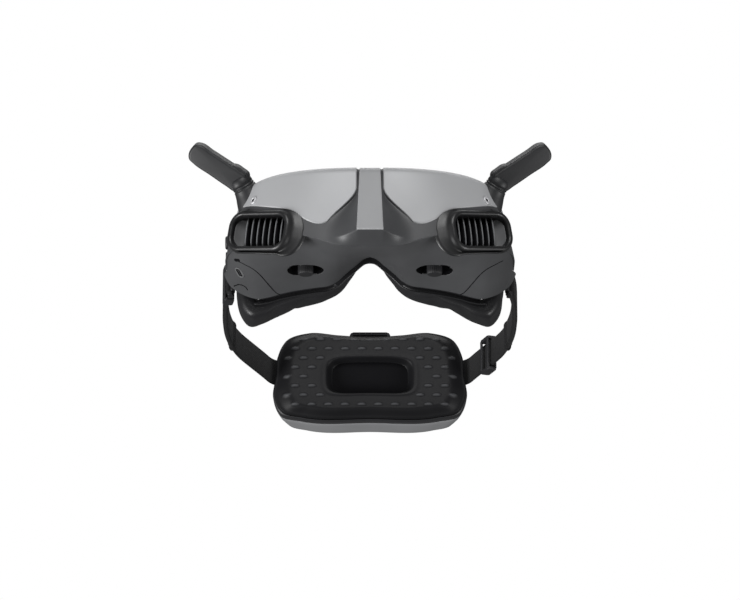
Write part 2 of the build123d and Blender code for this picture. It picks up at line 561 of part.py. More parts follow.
def buckle(thickness, lengthwise):
    """Ladder buckle round a band of this thickness, in its own frame: x across the band, y along it."""
    half = thickness / 2 + GAP
    frame = Box(thickness + 2 * GAP + 3.0, lengthwise, STRAP_H + 5.4)
    frame -= Box(2 * half, lengthwise + 2, STRAP_H + 1.2)
    frame -= Pos(half + 2, 0, 0) * Box(4, lengthwise - 5.0, STRAP_H + 1.2)
    for sign in (1, -1):
        frame -= Pos(-half - 2, sign * (lengthwise / 4 + 1.0), 0) * Box(4, lengthwise / 2 - 3.4, STRAP_H + 1.2)
    return frame


def make_buckles():
    """Length adjusters: one near the pack on the left, one near the goggles on the right."""
    a, b = Vector(*STRAP_ROUTE[4], 0), Vector(*STRAP_ROUTE[5], 0)
    run = (b - a).normalized()
    centre = a + (b - a) * 0.56
    turn = math.degrees(math.atan2(-run.X, run.Y))
    left = Pos(centre.X, centre.Y, STRAP_Z) * Rot(0, 0, turn) * buckle(STRAP_T, 12.0)
    a, b = Vector(*STRAP_ROUTE[0], 0), Vector(*STRAP_ROUTE[1], 0)
    run_right = (b - a).normalized()
    centre_right = a + (b - a) * 0.45
    turn = math.degrees(math.atan2(-run_right.X, run_right.Y))
    right = Pos(centre_right.X, centre_right.Y, STRAP_Z) * Rot(0, 0, turn) * buckle(2 * STRAP_T, 8.0)
    keep("buckle_left", left)
    keep("buckle_right", mirrored(right))
    return centre, run, centre_right, run_right


def pack_face(scale_xz, y, dz=0.0):
    """Pack outline in the plane at y, scaled about its centre."""
    pts = [(x * scale_xz[0], PACK_Z + (z - PACK_Z) * scale_xz[1] + dz) for x, z in PACK_OUTLINE]
    whole = pts + [(-x, z) for x, z in reversed(pts) if x > 0]
    with BuildSketch(Plane.XZ.offset(-y)) as sketch:
        with BuildLine():
            Spline(*whole, periodic=True)
        make_face()
    return sketch.sketch.face()


def make_pack():
    """Battery pack: pad, inner and outer shells, cells, board, button, loop and screws."""
    pad = loft([pack_face((0.93, 0.90), PAD_Y + 1.0), pack_face((0.985, 0.97), PAD_Y + 4.0),
                pack_face((0.985, 0.97), PACK_FRONT_Y)])
    hollow = Pos(0, PAD_Y + 3.5, PACK_Z + 3.5) * Rot(90, 0, 0) * extrude(RectangleRounded(46, 21, 7), amount=3.6, both=True)
    keep("pack_pad", pad - hollow)
    inner_solid = loft([pack_face((1.0, 1.0), PACK_FRONT_Y), pack_face((1.0, 1.0), PACK_SPLIT_Y)])
    room = loft([pack_face((0.955, 0.91), PACK_FRONT_Y + 2.4), pack_face((0.955, 0.91), PACK_SPLIT_Y)])
    inner = inner_solid - room
    outer = loft([pack_face((1.0, 1.0), PACK_SPLIT_Y), pack_face((0.95, 0.97), PACK_SPLIT_Y + 9),
                  pack_face((0.79, 0.96), PACK_BACK_Y)])
    hold = loft([pack_face((0.955, 0.91), PACK_SPLIT_Y), pack_face((0.90, 0.88), PACK_SPLIT_Y + 9),
                 pack_face((0.75, 0.86), PACK_BACK_Y - 2.0)])
    outer -= hold
    strap_slot = box(52, 70, 189.0, 199.5, STRAP_Z - STRAP_H / 2 - 0.5, STRAP_Z + STRAP_H / 2 + 0.5)
    button_x, button_z = 36.0, -10.5
    for sign in (1, -1):
        slot = strap_slot if sign > 0 else mirrored(strap_slot)
        inner -= slot
        outer -= slot
    outer -= rod((button_x, 205, button_z), (0, 1, 0), 30, 4.8)
    outer -= extrude(Plane(origin=(-30, 205, -30), x_dir=(1, 0, 0), z_dir=(0, 0, -1)) * SlotOverall(9.4, 3.6), amount=12)
    keep("pack_inner_shell", inner)
    keep("pack_outer_shell", outer)
    cells = [rod((-34.3, 207.6, PACK_Z + dz), (1, 0, 0), 64, 9.0) for dz in (-9.3, 9.3)]
    keep("battery_cells", Compound(cells))
    board = box(-48, -34.5, 200.5, 202.0, -28, 8)
    board += box(-42.5, -36.5, 202.0, 207.0, -4, 3)
    keep("battery_board", board)
    button = rod((button_x, 216.6, button_z), (0, 1, 0), 3.6, 4.5)
    button += rod((button_x, 215.4, button_z), (0, 1, 0), 1.2, 5.8)
    keep("power_button", button)
    loop = box(-13, 13, 190.2, 197.4, 15.0, 20.8) - box(-10.8, 10.8, 180, 200, 17.6, 19.4)
    loop = fillet(loop.edges().filter_by(Axis.Y).group_by(Axis.Z)[-1], 1.2)
    keep("pack_top_loop", loop - inner_solid)
    screws = []
    for sx in (1, -1):
        for z in (-26, 6):
            head = rod((sx * 44.0, 193.0, z), (0, 1, 0), 1.6, 2.0)
            screws.append(head + rod((sx * 44.0, 194.6, z), (0, 1, 0), 5.0, 1.1))
    keep("pack_screws", Compound(screws))
    port_plane = Plane(origin=(-30, 205, -30), x_dir=(1, 0, 0), z_dir=(0, 0, -1))
    port = extrude(port_plane * SlotOverall(9.1, 3.3), amount=6.6)
    port -= extrude(Plane(origin=(-30, 205, -31.2), x_dir=(1, 0, 0), z_dir=(0, 0, -1)) * SlotOverall(8.3, 2.5), amount=8)
    keep("charge_port", port)


def main():
    os.makedirs("parts", exist_ok=True)
    make_shells()
    make_ridge()
    make_vents()
    make_rear_frame()
    make_foam()
    make_optics()
    make_electronics()
    make_screws()
    pin_centre, pin_dir = make_antennas()
    make_headband()
    places = make_buckles()
    make_pack()
    print("antenna pin", pin_centre, pin_dir)
    print("buckles", *places)
    for name, shape in PARTS.items():
        export_step(shape, f"parts/{name}.step")


main()
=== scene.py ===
"""Looks of the video goggles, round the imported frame. Lengths are millimetres until mesh()."""

import math

import bmesh
import bpy
import numpy as np
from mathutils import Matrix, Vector


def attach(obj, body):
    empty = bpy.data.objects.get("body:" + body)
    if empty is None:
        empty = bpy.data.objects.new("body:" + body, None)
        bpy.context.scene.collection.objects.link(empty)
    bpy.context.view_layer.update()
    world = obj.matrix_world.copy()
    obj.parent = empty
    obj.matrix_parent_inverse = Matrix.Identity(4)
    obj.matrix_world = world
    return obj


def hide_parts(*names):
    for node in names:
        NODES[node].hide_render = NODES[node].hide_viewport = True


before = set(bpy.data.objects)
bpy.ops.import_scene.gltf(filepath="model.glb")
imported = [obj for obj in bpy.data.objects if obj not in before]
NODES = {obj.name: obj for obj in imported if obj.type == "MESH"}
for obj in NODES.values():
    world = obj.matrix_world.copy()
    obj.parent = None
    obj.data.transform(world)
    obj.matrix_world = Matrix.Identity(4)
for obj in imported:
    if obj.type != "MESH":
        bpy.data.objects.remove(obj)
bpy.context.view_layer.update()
MM = 0.001

# ---- materials ----------------------------------------------------------------------------------


def noise(nt, coord, scale, detail):
    """Noise texture in object coordinates."""
    node = nt.nodes.new("ShaderNodeTexNoise")
    node.inputs["Scale"].default_value = scale
    node.inputs["Detail"].default_value = detail
    nt.links.new(coord.outputs["Object"], node.inputs["Vector"])
    return node


def add_bump(nt, height, strength, distance, under=None):
    """Bump from a height socket, over an earlier bump node if there is one, as the shader's normal."""
    bump = nt.nodes.new("ShaderNodeBump")
    bump.inputs["Strength"].default_value = strength
    bump.inputs["Distance"].default_value = distance
    nt.links.new(height, bump.inputs["Height"])
    if under:
        nt.links.new(under.outputs["Normal"], bump.inputs["Normal"])
    nt.links.new(bump.outputs["Normal"], nt.nodes["Principled BSDF"].inputs["Normal"])


def node_of(nt, kind):
    """First node of a kind in a tree."""
    return next(n for n in nt.nodes if n.bl_idname == kind)


def material(name, color, rough=0.5, grain=900.0, bump=0.06, vary=0.12, metal=0.0, coat=0.0, sheen=0.0,
             spec=0.5):
    """Moulded surface: fine grain bump, slow colour and roughness variation."""
    m = bpy.data.materials.new(name)
    m.use_nodes = True
    nt = m.node_tree
    bsdf = nt.nodes["Principled BSDF"]
    for key, value in (("Metallic", metal), ("Coat Weight", coat), ("Coat Roughness", 0.25),
                       ("Sheen Weight", sheen), ("Specular IOR Level", spec)):
        bsdf.inputs[key].default_value = value
    coord = nt.nodes.new("ShaderNodeTexCoord")
    slow = noise(nt, coord, 38.0, 4.0)
    ramp = nt.nodes.new("ShaderNodeValToRGB")
    for stop, place, f in zip(ramp.color_ramp.elements, (0.3, 0.7), (1 - vary, 1 + vary)):
        stop.color = (*[min(1.0, c * f) for c in color], 1.0)
        stop.position = place
    nt.links.new(slow.outputs["Fac"], ramp.inputs["Fac"])
    nt.links.new(ramp.outputs["Color"], bsdf.inputs["Base Color"])
    fine = noise(nt, coord, grain, 3.0)
    spread = nt.nodes.new("ShaderNodeMapRange")
    spread.inputs["To Min"].default_value = max(0.02, rough - 0.06)
    spread.inputs["To Max"].default_value = min(1.0, rough + 0.06)
    nt.links.new(fine.outputs["Fac"], spread.inputs["Value"])
    nt.links.new(spread.outputs["Result"], bsdf.inputs["Roughness"])
    add_bump(nt, fine.outputs["Fac"], bump, 0.0002)
    return m


def woven(name, color):
    """Webbing: fine ribs along and across the band, from object coordinates."""
    m = material(name, color, rough=0.8, grain=2200.0, bump=0.2, vary=0.2, sheen=0.04, spec=0.3)
    nt = m.node_tree
    coord = node_of(nt, "ShaderNodeTexCoord")
    grain = node_of(nt, "ShaderNodeBump")
    cross = nt.nodes.new("ShaderNodeMath")
    cross.operation = "MULTIPLY"
    for k, (direction, pitch) in enumerate((("Z", 0.0011), ("Y", 0.001485))):
        wave = nt.nodes.new("ShaderNodeTexWave")
        wave.wave_type = "BANDS"
        wave.bands_direction = direction
        wave.inputs["Scale"].default_value = 0.314 / pitch
        wave.inputs["Distortion"].default_value = 0.6
        wave.inputs["Detail"].default_value = 1.0
        nt.links.new(coord.outputs["Object"], wave.inputs["Vector"])
        nt.links.new(wave.outputs["Fac"], cross.inputs[k])
    add_bump(nt, cross.outputs[0], 0.55, 0.0004, grain)
    return m


def leather(name, color, rough):
    """Soft synthetic leather: small pebbles from a cell texture over fine noise."""
    m = material(name, color, rough=rough, grain=1500.0, bump=0.15, vary=0.18)
    nt = m.node_tree
    grain = node_of(nt, "ShaderNodeBump")
    cells = nt.nodes.new("ShaderNodeTexVoronoi")
    cells.feature = "DISTANCE_TO_EDGE"
    cells.inputs["Scale"].default_value = 900.0
    nt.links.new(node_of(nt, "ShaderNodeTexCoord").outputs["Object"], cells.inputs["Vector"])
    add_bump(nt, cells.outputs["Distance"], 0.35, 0.0003, grain)
    return m


MAT = {
    "silver": material("panel_paint", (0.40, 0.405, 0.415), grain=3000, bump=0.02, vary=0.025, metal=0.12),
    "shell": material("shell_plastic", (0.055, 0.056, 0.059), rough=0.46, bump=0.05),
    "under": material("underside_plastic", (0.062, 0.063, 0.066), rough=0.55, spec=0.35),
    "ridge": material("ridge_plastic", (0.33, 0.334, 0.343), rough=0.45, vary=0.04),
    "bezel": material("bezel_plastic", (0.01, 0.0102, 0.011), rough=0.42, bump=0.03, coat=0.1),
    "grille": material("grille_plastic", (0.13, 0.1315, 0.135), rough=0.42, bump=0.05),
    # painted highlight: paler grey for the front edges of the vent fins, standing in for the light they catch
    "slat": material("slat_edge_highlight", (0.16, 0.163, 0.17), rough=0.4, bump=0.03, vary=0.05),
    # painted shade: near-black, hardly reflecting colour put in wells, grooves, seams, sockets and the pack's
    # recess, where shade falls
    "deep": material("painted_shade_black", (0.005, 0.005, 0.006), rough=0.75, bump=0.05, spec=0.08),
    "frame": material("frame_black", (0.016, 0.016, 0.018), bump=0.08),
    "foam": leather("cushion_leather", (0.012, 0.012, 0.0135), rough=0.42),
    "steel": material("steel", (0.62, 0.62, 0.63), rough=0.25, grain=1800, bump=0.03, vary=0.06, metal=1.0),
    "screw": material("screw_steel", (0.66, 0.66, 0.68), rough=0.48, grain=1800, bump=0.02, vary=0.06,
                      metal=0.5),
    "cooler": material("cooler_metal", (0.6, 0.61, 0.63), rough=0.4, grain=1400, bump=0.08, metal=1.0),
    "board": material("board_lacquer", (0.012, 0.07, 0.035), rough=0.35, grain=700, bump=0.15),
    "knob": material("knob_rubber", (0.014, 0.014, 0.016), rough=0.55, bump=0.15),
    "optics": material("optics_black", (0.008, 0.008, 0.009), rough=0.6, bump=0.08),
    "display": material("display_glass", (0.004, 0.004, 0.006), rough=0.08, bump=0.0, coat=0.6),
    "antenna": material("antenna_plastic", (0.018, 0.0184, 0.02), bump=0.02, vary=0.06),
    "brass": material("brass_plate", (0.72, 0.56, 0.28), rough=0.3, grain=1500, bump=0.04, metal=1.0),
    "web": woven("webbing", (0.0045, 0.0045, 0.005)),
    "pad": material("pad_black", (0.008, 0.008, 0.009), grain=1600, bump=0.08, spec=0.18),
    "pack": material("pack_plastic", (0.018, 0.018, 0.02), rough=0.45, bump=0.08),
    "cover": material("pack_cover", (0.245, 0.248, 0.255), rough=0.45, vary=0.06),
    "cell": material("cell_wrap", (0.03, 0.09, 0.24), rough=0.3, grain=500, bump=0.03),
    "loop": material("loop_plastic", (0.05, 0.051, 0.055), rough=0.4, bump=0.05),
    "glass": material("lens_glass", (0.9, 0.93, 0.95), rough=0.03, bump=0.0, vary=0.01, coat=0.5),
}
MAT["glass"].node_tree.nodes["Principled BSDF"].inputs["Transmission Weight"].default_value = 0.9


def paint_bump_highlights(m, color):
    """Painted highlight on the bumps of the pack's cushion: paler colour where they rise, standing in for the
    light they catch.
    """
    nt = m.node_tree
    base = nt.nodes["Principled BSDF"].inputs["Base Color"]
    under = base.links[0].from_socket
    lift = nt.nodes.new("ShaderNodeAttribute")
    lift.attribute_name = "lift"
    mix = nt.nodes.new("ShaderNodeMix")
    mix.data_type = "RGBA"
    colors = [i for i in mix.inputs if i.type == "RGBA"]
    colors[1].default_value = (*color, 1.0)
    # bump height mixes the painted highlight colour into the rubber's colour
    nt.links.new(lift.outputs["Fac"], mix.inputs["Factor"])
    nt.links.new(under, colors[0])
    nt.links.new(next(o for o in mix.outputs if o.type == "RGBA"), base)


# paler colour of the bumps' painted highlight
paint_bump_highlights(MAT["pad"], (0.055, 0.056, 0.06))

CAD_LOOKS = {
    "steel": ("ipd_rails", "antenna_pins", "strap_pivots", "pack_screws", "usb_port", "charge_port"),
    "brass": ("antenna_sockets", "antenna_element_left", "antenna_element_right"),
    "cooler": ("optics_bracket", "cooler"),
    "board": ("main_board", "battery_board"),
    "optics": ("audio_jack", "lens_carriage_left", "lens_carriage_right", "lens_barrel_left",
               "lens_barrel_right", "fan_rotor", "joystick_plunger", "joystick_ring"),
    "display": ("display_left", "display_right"),
    "glass": ("lens_left", "lens_right"),
    "knob": ("joystick_cap", "back_button", "power_button"),
    "frame": ("rear_frame",),
    "cell": ("battery_cells",),
}
for look, names in CAD_LOOKS.items():
    for node in names:
        for slot in NODES[node].material_slots:
            slot.material = MAT[look]

# ---- mesh helpers -------------------------------------------------------------------------------


def mesh(name, verts, faces, look, body, node=(), smooth=True):
    """New piece from millimetre vertices, riding on a body."""
    me = bpy.data.meshes.new(name)
    me.from_pydata([tuple(float(c) * MM for c in v) for v in verts], [], [tuple(f) for f in faces])
    bm = bmesh.new()
    bm.from_mesh(me)
    bmesh.ops.remove_doubles(bm, verts=bm.verts, dist=2e-6)
    bmesh.ops.dissolve_degenerate(bm, edges=bm.edges, dist=1e-7)
    bmesh.ops.recalc_face_normals(bm, faces=bm.faces)
    bm.to_mesh(me)
    bm.free()
    me.materials.append(MAT[look])
    for p in me.polygons:
        p.use_smooth = smooth
    obj = bpy.data.objects.new(name, me)
    bpy.context.scene.collection.objects.link(obj)
    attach(obj, body)
    if node:
        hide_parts(*((node,) if isinstance(node, str) else node))
    return obj


def grid_faces(nu, nv, close_u=False, close_v=False):
    """Quads of a nu by nv grid of vertices."""
    faces = []
    for a in range(nu if close_u else nu - 1):
        b = (a + 1) % nu
        for c in range(nv if close_v else nv - 1):
            d = (c + 1) % nv
            faces.append((a * nv + c, b * nv + c, b * nv + d, a * nv + d))
    return faces


def capped_faces(rings, n):
    """Faces of a stack of closed rings of n points, with both ends closed."""
    last = (rings - 1) * n
    return grid_faces(rings, n, close_v=True) + [tuple(range(n)), tuple(range(last, last + n))]


def fan(start, n, centre):
    """Triangles from a closed ring of n points to its centre vertex."""
    return [(start + k, start + (k + 1) % n, centre) for k in range(n)]


def circle(n):
    """Angles of n even steps round a circle."""
    return np.linspace(0, 2 * math.pi, n, endpoint=False)


def apply_modifiers(obj):
    """Bakes an object's modifiers into its mesh."""
    deps = bpy.context.evaluated_depsgraph_get()
    me = bpy.data.meshes.new_from_object(obj.evaluated_get(deps))
    obj.modifiers.clear()
    obj.data = me


def thicken(obj, thickness, offset=-1.0):
    """Gives a sheet a wall thickness in millimetres."""
    mod = obj.modifiers.new("wall", "SOLIDIFY")
    mod.thickness = thickness * MM
    mod.offset = offset
    mod.use_quality_normals = True
    apply_modifiers(obj)


def round_edges(obj, width, angle):
    """Rounds a piece's edges that are sharper than an angle."""
    mod = obj.modifiers.new("edges", "BEVEL")
    mod.width = width * MM
    mod.segments = 3
    mod.limit_method = "ANGLE"
    mod.angle_limit = math.radians(angle)
    apply_modifiers(obj)


def weighted(obj, angle):
    """Crisp edges above an angle, smooth shading below it."""
    bpy.context.view_layer.objects.active = obj
    obj.select_set(True)
    bpy.ops.object.shade_auto_smooth(angle=math.radians(angle))
    obj.select_set(False)
    apply_modifiers(obj)


def smoothstep(x, lo, hi):
    """0 below lo, 1 above hi, smooth between them."""
    t = np.clip((x - lo) / (hi - lo), 0.0, 1.0)
    return t * t * (3 - 2 * t)


def hermite(p, first, last, n, endpoint=True):
    """n points of a smooth curve through p by chord length, from its first to its last given index."""
    d = np.concatenate([[0], np.cumsum(np.linalg.norm(np.diff(p, axis=0), axis=1))])
    m = np.gradient(p, d, axis=0)
    s = np.linspace(d[first], d[last], n, endpoint=endpoint)
    k = np.clip(np.searchsorted(d, s, side="right") - 1, 0, len(p) - 2)
    h = (d[k + 1] - d[k])[:, None]
    t = ((s - d[k])[:, None]) / h
    return ((2 * t**3 - 3 * t**2 + 1) * p[k] + (t**3 - 2 * t**2 + t) * h * m[k]
            + (-2 * t**3 + 3 * t**2) * p[k + 1] + (t**3 - t**2) * h * m[k + 1])


def curve_through(points, n):
    """n points of a smooth open curve through the given ones."""
    return hermite(np.array(points, float), 0, -1, n)


def closed_curve(points, n):
    """n points of a smooth closed curve through the given ones."""
    p = np.array(points, float)
    return hermite(np.vstack([p[-3:], p, p[:4]]), 3, 3 + len(p), n, endpoint=False)


def outline_normals(outline, floor=0.0):
    """Outward normals of a counter-clockwise outline. A floor over 0 allows for points in the same place."""
    t = np.roll(outline, -1, 0) - np.roll(outline, 1, 0)
    t /= np.linalg.norm(t, axis=1)[:, None] + floor
    return np.stack([t[:, 1], -t[:, 0]], -1)


def rounded_rect(w, h, r, n=10):
    """Points round a rounded rectangle, counter-clockwise."""
    pts = []
    for east, north, start in ((1, 1, 0), (-1, 1, 90), (-1, -1, 180), (1, -1, 270)):
        for i in range(n + 1):
            a = math.radians(start + 90 * i / n)
            pts.append((east * (w / 2 - r) + r * math.cos(a), north * (h / 2 - r) + r * math.sin(a)))
    return np.array(pts)


def ring_sweep(points, radius, n=8):
    """Round bead along millimetre points, as vertices and faces."""
    p = np.array(points, float)
    tangent = np.gradient(p, axis=0)
    tangent /= np.linalg.norm(tangent, axis=1)[:, None]
    ref = np.array([0.13, 0.2, 0.97])
    if abs(np.dot(tangent[0], ref)) > 0.9:
        ref = np.array([0.9, 0.3, 0.1])
    verts = []
    for q, t in zip(p, tangent):
        a = unit(np.cross(t, ref))
        b = np.cross(t, a)
        verts += [q + radius * (math.cos(w) * a + math.sin(w) * b) for w in circle(n)]
    return verts, capped_faces(len(p), n)


def tube(name, points, radius, look, body):
    """Piece made of one round bead."""
    v, f = ring_sweep(points, radius)
    return mesh(name, v, f, look, body)


def slab_geometry(outline, origin, ax, ay, az, z0, z1, bevel=0.6, steps=4):
    """Vertices and faces of a plate with rounded rims. outline runs counter-clockwise in (ax, ay)."""
    o = np.array(outline, float)
    n = len(o)
    normal = outline_normals(o, 1e-9)
    turns = [math.pi / 2 * k / steps for k in range(steps + 1)]
    layers = [(bevel * (1 - math.sin(a)), z0 + bevel * (1 - math.cos(a))) for a in turns]
    layers += [(bevel * (1 - math.cos(a)), z1 - bevel + bevel * math.sin(a)) for a in turns]
    origin, ax, ay, az = (np.array(v, float) for v in (origin, ax, ay, az))
    verts = []
    for inset, z in layers:
        verts += [origin + ax * a + ay * b + az * z for a, b in o - normal * inset]
    faces = grid_faces(len(layers), n, close_v=True)
    for start in (0, (len(layers) - 1) * n):
        verts.append(np.mean(verts[start:start + n], axis=0))
        faces += fan(start, n, len(verts) - 1)
    return verts, faces


def join_geometry(parts):
    """Several (verts, faces) as one."""
    verts, faces = [], []
    for v, f in parts:
        base = len(verts)
        verts += list(v)
        faces += [tuple(i + base for i in face) for face in f]
    return verts, faces


def unit(v):
    """Vector of length 1."""
    v = np.array(v, float)
    return v / np.linalg.norm(v)


def as_is(verts):
    """The wearer's left, on which paired pieces are drawn."""
    return verts


def mirror_x(verts):
    """The wearer's right."""
    return [(-v[0], v[1], v[2]) for v in verts]


SIDES = (("left", as_is), ("right", mirror_x))


# ---- goggle body surface ------------------------------------------------------------------------
# widths, front and start of the curve are quadratics through three heights
TOP_Z, EDGE_R = 33.0, 4.2
POWER = 2.5
LEVELS = np.array([33.0, 12.0, -9.0])
WIDTH_FIT = np.polyfit(LEVELS, [74.0, 80.4, 85.0], 2)
FRONT_FIT = np.polyfit(LEVELS, [-75.0, -77.0, -77.0], 2)
STRAIGHT_FIT = np.polyfit(LEVELS, [-20.0, -22.0, -24.0], 2)
RIDGE_LOW_Z, BROW_Z, BROW_SIDE_Z = -11.0, -16.0, -8.6
RIDGE_TOP_Y, RIDGE_LEAN = -75.4, 14.4
SIDE_X = 85.0


def half_width(z):
    """Half the width of the goggles at a height."""
    return np.polyval(WIDTH_FIT, z)


def rear_y(x):
    """Front face of the rear frame."""
    return -20.9 + 8.0 * (np.abs(x) / SIDE_X) ** 2


def ridge_half(z):
    """Half width of the ridge's flat front face."""
    return 5.9 + (TOP_Z - z) * 0.036


def flank_half(z):
    """Where the ridge's flank meets the front."""
    return 7.3 + 19.0 * smoothstep(TOP_Z - z, 13, 40)


def ridge_height(z):
    """How far the ridge's face stands out of the front."""
    front = RIDGE_TOP_Y - RIDGE_LEAN * (TOP_Z - z) / (TOP_Z - RIDGE_LOW_Z)
    full = np.polyval(FRONT_FIT, z) - front
    foot = np.clip((z - BROW_Z) / (RIDGE_LOW_Z - BROW_Z), 0, 1)
    at_edge = np.polyval(FRONT_FIT, RIDGE_LOW_Z) - (RIDGE_TOP_Y - RIDGE_LEAN)
    return np.where(z >= RIDGE_LOW_Z, full, at_edge * foot)


def relief(x, z):
    """Outward displacement of the front: ridge, its flanks and the channel beside it."""
    a = np.abs(x)
    w, w2 = ridge_half(z), flank_half(z)
    u = np.clip((a - w) / (w2 - w), 0, 1)
    channel = -0.9 * smoothstep(z, -2, 12) * smoothstep(u, 0.0, 0.3) * (1 - smoothstep(a, w2 - 0.9, w2 + 0.2))
    return ridge_height(z) * (1 - u) ** 2.4 + channel


def brow_z(x):
    """Height of the seam between the housing and the underside."""
    return BROW_Z + (BROW_SIDE_Z - BROW_Z) * smoothstep(np.abs(x), 13, 42)


def wall_point(x, z, off, side=0.0):
    """Point of the wall at x and z, moved out by off. side over 0 runs straight back along the temple."""
    w = half_width(z)
    s = np.polyval(STRAIGHT_FIT, z)
    d = s - np.polyval(FRONT_FIT, z)
    u = np.clip(np.abs(x) / w, 0, 1)
    v = (1 - u**POWER) ** (1 / POWER)
    y = s - d * v
    nx, ny = np.sign(x) * u ** (POWER - 1) / w, -(v ** (POWER - 1)) / d
    size = np.hypot(nx, ny)
    nx, ny = nx / size, ny / size
    out = off + np.where(side > 0, 0.0, relief(x, z))
    back = rear_y(x) - s
    return np.stack([x + nx * out, y + ny * out + side * back, z * np.ones_like(x)], -1)


def body_columns(n_face=9, n_flank=26, n_front=70, n_side=10):
    """Columns as (zone, place in it), right temple to left."""
    cols = [("face", t) for t in np.linspace(0, 1, n_face)]
    cols += [("flank", t) for t in np.concatenate([[0.012, 0.03], np.linspace(0.06, 1, n_flank)])]
    cols += [("front", t) for t in np.linspace(0, 1, n_front)[1:]]
    cols += [("side", t) for t in np.linspace(0, 1, n_side)[1:]]
    return [(zone, t, -1) for zone, t in reversed(cols)][:-1] + [(zone, t, 1) for zone, t in cols]


def column_x(zone, t, z):
    """Distance from the middle of a column, at a height."""
    w, w2, width = ridge_half(z), flank_half(z), half_width(z)
    if zone == "face":
        return w * t
    if zone == "flank":
        return w + (w2 - w) * t
    if zone == "front":
        return w2 + (width - w2) * math.sin(math.pi / 2 * t)
    return width


FILLET_STEPS, ROOF_STEPS = 7, 8


def shell_grid(columns, low, off, n_wall=70, edge_steps=(), x_of=column_x):
    """Rows of one shell: from low(zone, t) up the wall, over the rounded edge and back along the roof."""
    top = TOP_Z - EDGE_R
    rows = []
    for zone, t, sign in columns:
        side = t if zone == "side" else 0.0
        zl = low(zone, t)
        hs = np.linspace(0, 1, n_wall)
        if edge_steps:
            steps = np.array(edge_steps) / (top - zl)
            hs = np.concatenate([steps, np.linspace(steps[-1], 1, n_wall)[1:]])
        col = []
        for h in hs:
            z = zl + (top - zl) * h
            col.append(wall_point(sign * x_of(zone, t, z), z, off(zone, t, z), side))
        for k in range(1, FILLET_STEPS + 1):
            a = math.pi / 2 * k / FILLET_STEPS
            z = top + EDGE_R * math.sin(a)
            out = off(zone, t, z)
            base = wall_point(sign * x_of(zone, t, z), z, out - EDGE_R * (1 - math.cos(a)), side)
            col.append(base + np.array([0, 0, out * math.sin(a)]))
        edge = col[-1]
        for k in range(1, ROOF_STEPS + 1):
            q = k / ROOF_STEPS
            p = edge.copy()
            if zone != "side":
                p[1] = edge[1] + (rear_y(edge[0]) - edge[1]) * q
                p[2] = edge[2] + 0.8 * (1 - min(1.0, abs(edge[0]) / 66.0) ** 2) * math.sin(math.pi / 2 * q)
            col.append(p)
        rows.append(col)
    return np.array(rows)


def level(value):
    """The same offset all over a shell."""
    return lambda zone, t, z: value


def brow_low(zone, t):
    """Height of the brow seam on a column."""
    z = BROW_SIDE_Z
    for _ in range(3):
        z = float(brow_z(column_x(zone, t, z)))
    return z


VENT_CENTRE = np.array([63.8, -60.5, -1.6])
VENT_ALONG = unit([0.79, 0.59, 0.20])
VENT_FACING = np.array([0.60, -0.80, 0.0])
VENT_OUT = unit(VENT_FACING - VENT_ALONG * np.dot(VENT_FACING, VENT_ALONG))
VENT_UP = np.cross(VENT_OUT, VENT_ALONG)
VENT_W, VENT_H, VENT_R = 39.0, 18.4, 6.6
VENT_COVERED = 1.9  # how far past the opening the rim hides the shell


def vent_xyz(a, b, h):
    """Point a along, b up and h out from the left vent's centre."""
    return VENT_CENTRE + VENT_ALONG * a + VENT_UP * b + VENT_OUT * h


def in_vent(x, y, z, grow):
    """Whether a point lies inside either vent's rounded opening, grown by some millimetres."""
    d = np.array([abs(x), y, z]) - VENT_CENTRE
    a, b, h = np.dot(d, VENT_ALONG), np.dot(d, VENT_UP), np.dot(d, VENT_OUT)
    if not -9.0 < h < 14.0:
        return False
    r = VENT_R + grow
    qa, qb = abs(a) - (VENT_W / 2 + grow - r), abs(b) - (VENT_H / 2 + grow - r)
    return math.hypot(max(qa, 0.0), max(qb, 0.0)) + min(max(qa, qb), 0.0) < r


def open_vents(verts, faces):
    """Drops the shell's faces behind both vents."""
    inside = [in_vent(*v, VENT_COVERED) for v in verts]
    return [f for f in faces if not any(inside[i] for i in f)]


def make_upper():
    """Upper housing with its brow lip and vent openings, and the pale front face of the ridge."""
    grid = shell_grid(body_columns(), brow_low, level(0.0), n_wall=84)
    # the brow edge is tucked in, which leaves a shadow line above the underside
    lip = []
    for a in grid[:, 0]:
        inward = np.array([-a[0], -a[1] - 10, 0]) / np.linalg.norm([a[0], a[1] + 10, 1e-6])
        lip.append([a + inward * 2.2 + (0, 0, 0.7), a + inward * 0.5 - (0, 0, 0.25), a])
    grid = np.concatenate([np.array(lip), grid[:, 1:]], axis=1)
    verts = grid.reshape(-1, 3)
    shell = mesh("main_housing_shell", verts, open_vents(verts, grid_faces(*grid.shape[:2])), "shell",
                 "goggles", ("main_housing", "centre_ridge"))
    thicken(shell, 1.5)
    half = np.linspace(0, 1, 7)
    cols = [("face", t, -1) for t in half[:0:-1]] + [("face", t, 1) for t in half]
    face = shell_grid(cols, lambda zone, t: RIDGE_LOW_Z + 0.2, level(0.3), n_wall=40)
    ridge = mesh("centre_ridge_face", face.reshape(-1, 3), grid_faces(*face.shape[:2]), "ridge", "goggles")
    thicken(ridge, 0.9)
    round_edges(ridge, 0.28, 40)


PANEL_PROUD, PANEL_ROUND = 0.6, 0.55
PANEL_EDGE = curve_through([(24.0, -1.0), (26.5, -2.2), (30, -2.4), (34, -1.2), (38.4, 1.4), (42, 5.0),
                            (46, 7.4), (52, 9.4), (61, 12.3), (70, 16.2), (78, 19.8), (86, 22.0)], 160)


def panel_start(z):
    """Inner edge of the visor panel, beside the ridge's flank."""
    return flank_half(z) + 0.15


def panel_x(zone, t, z):
    """Column of the visor panel: along the ridge at its inner edge, following the temple at its outer one."""
    width = half_width(z)
    if zone == "side":
        return width
    start = panel_start(z)
    return start + (width - start) * math.sin(math.pi / 2 * t)


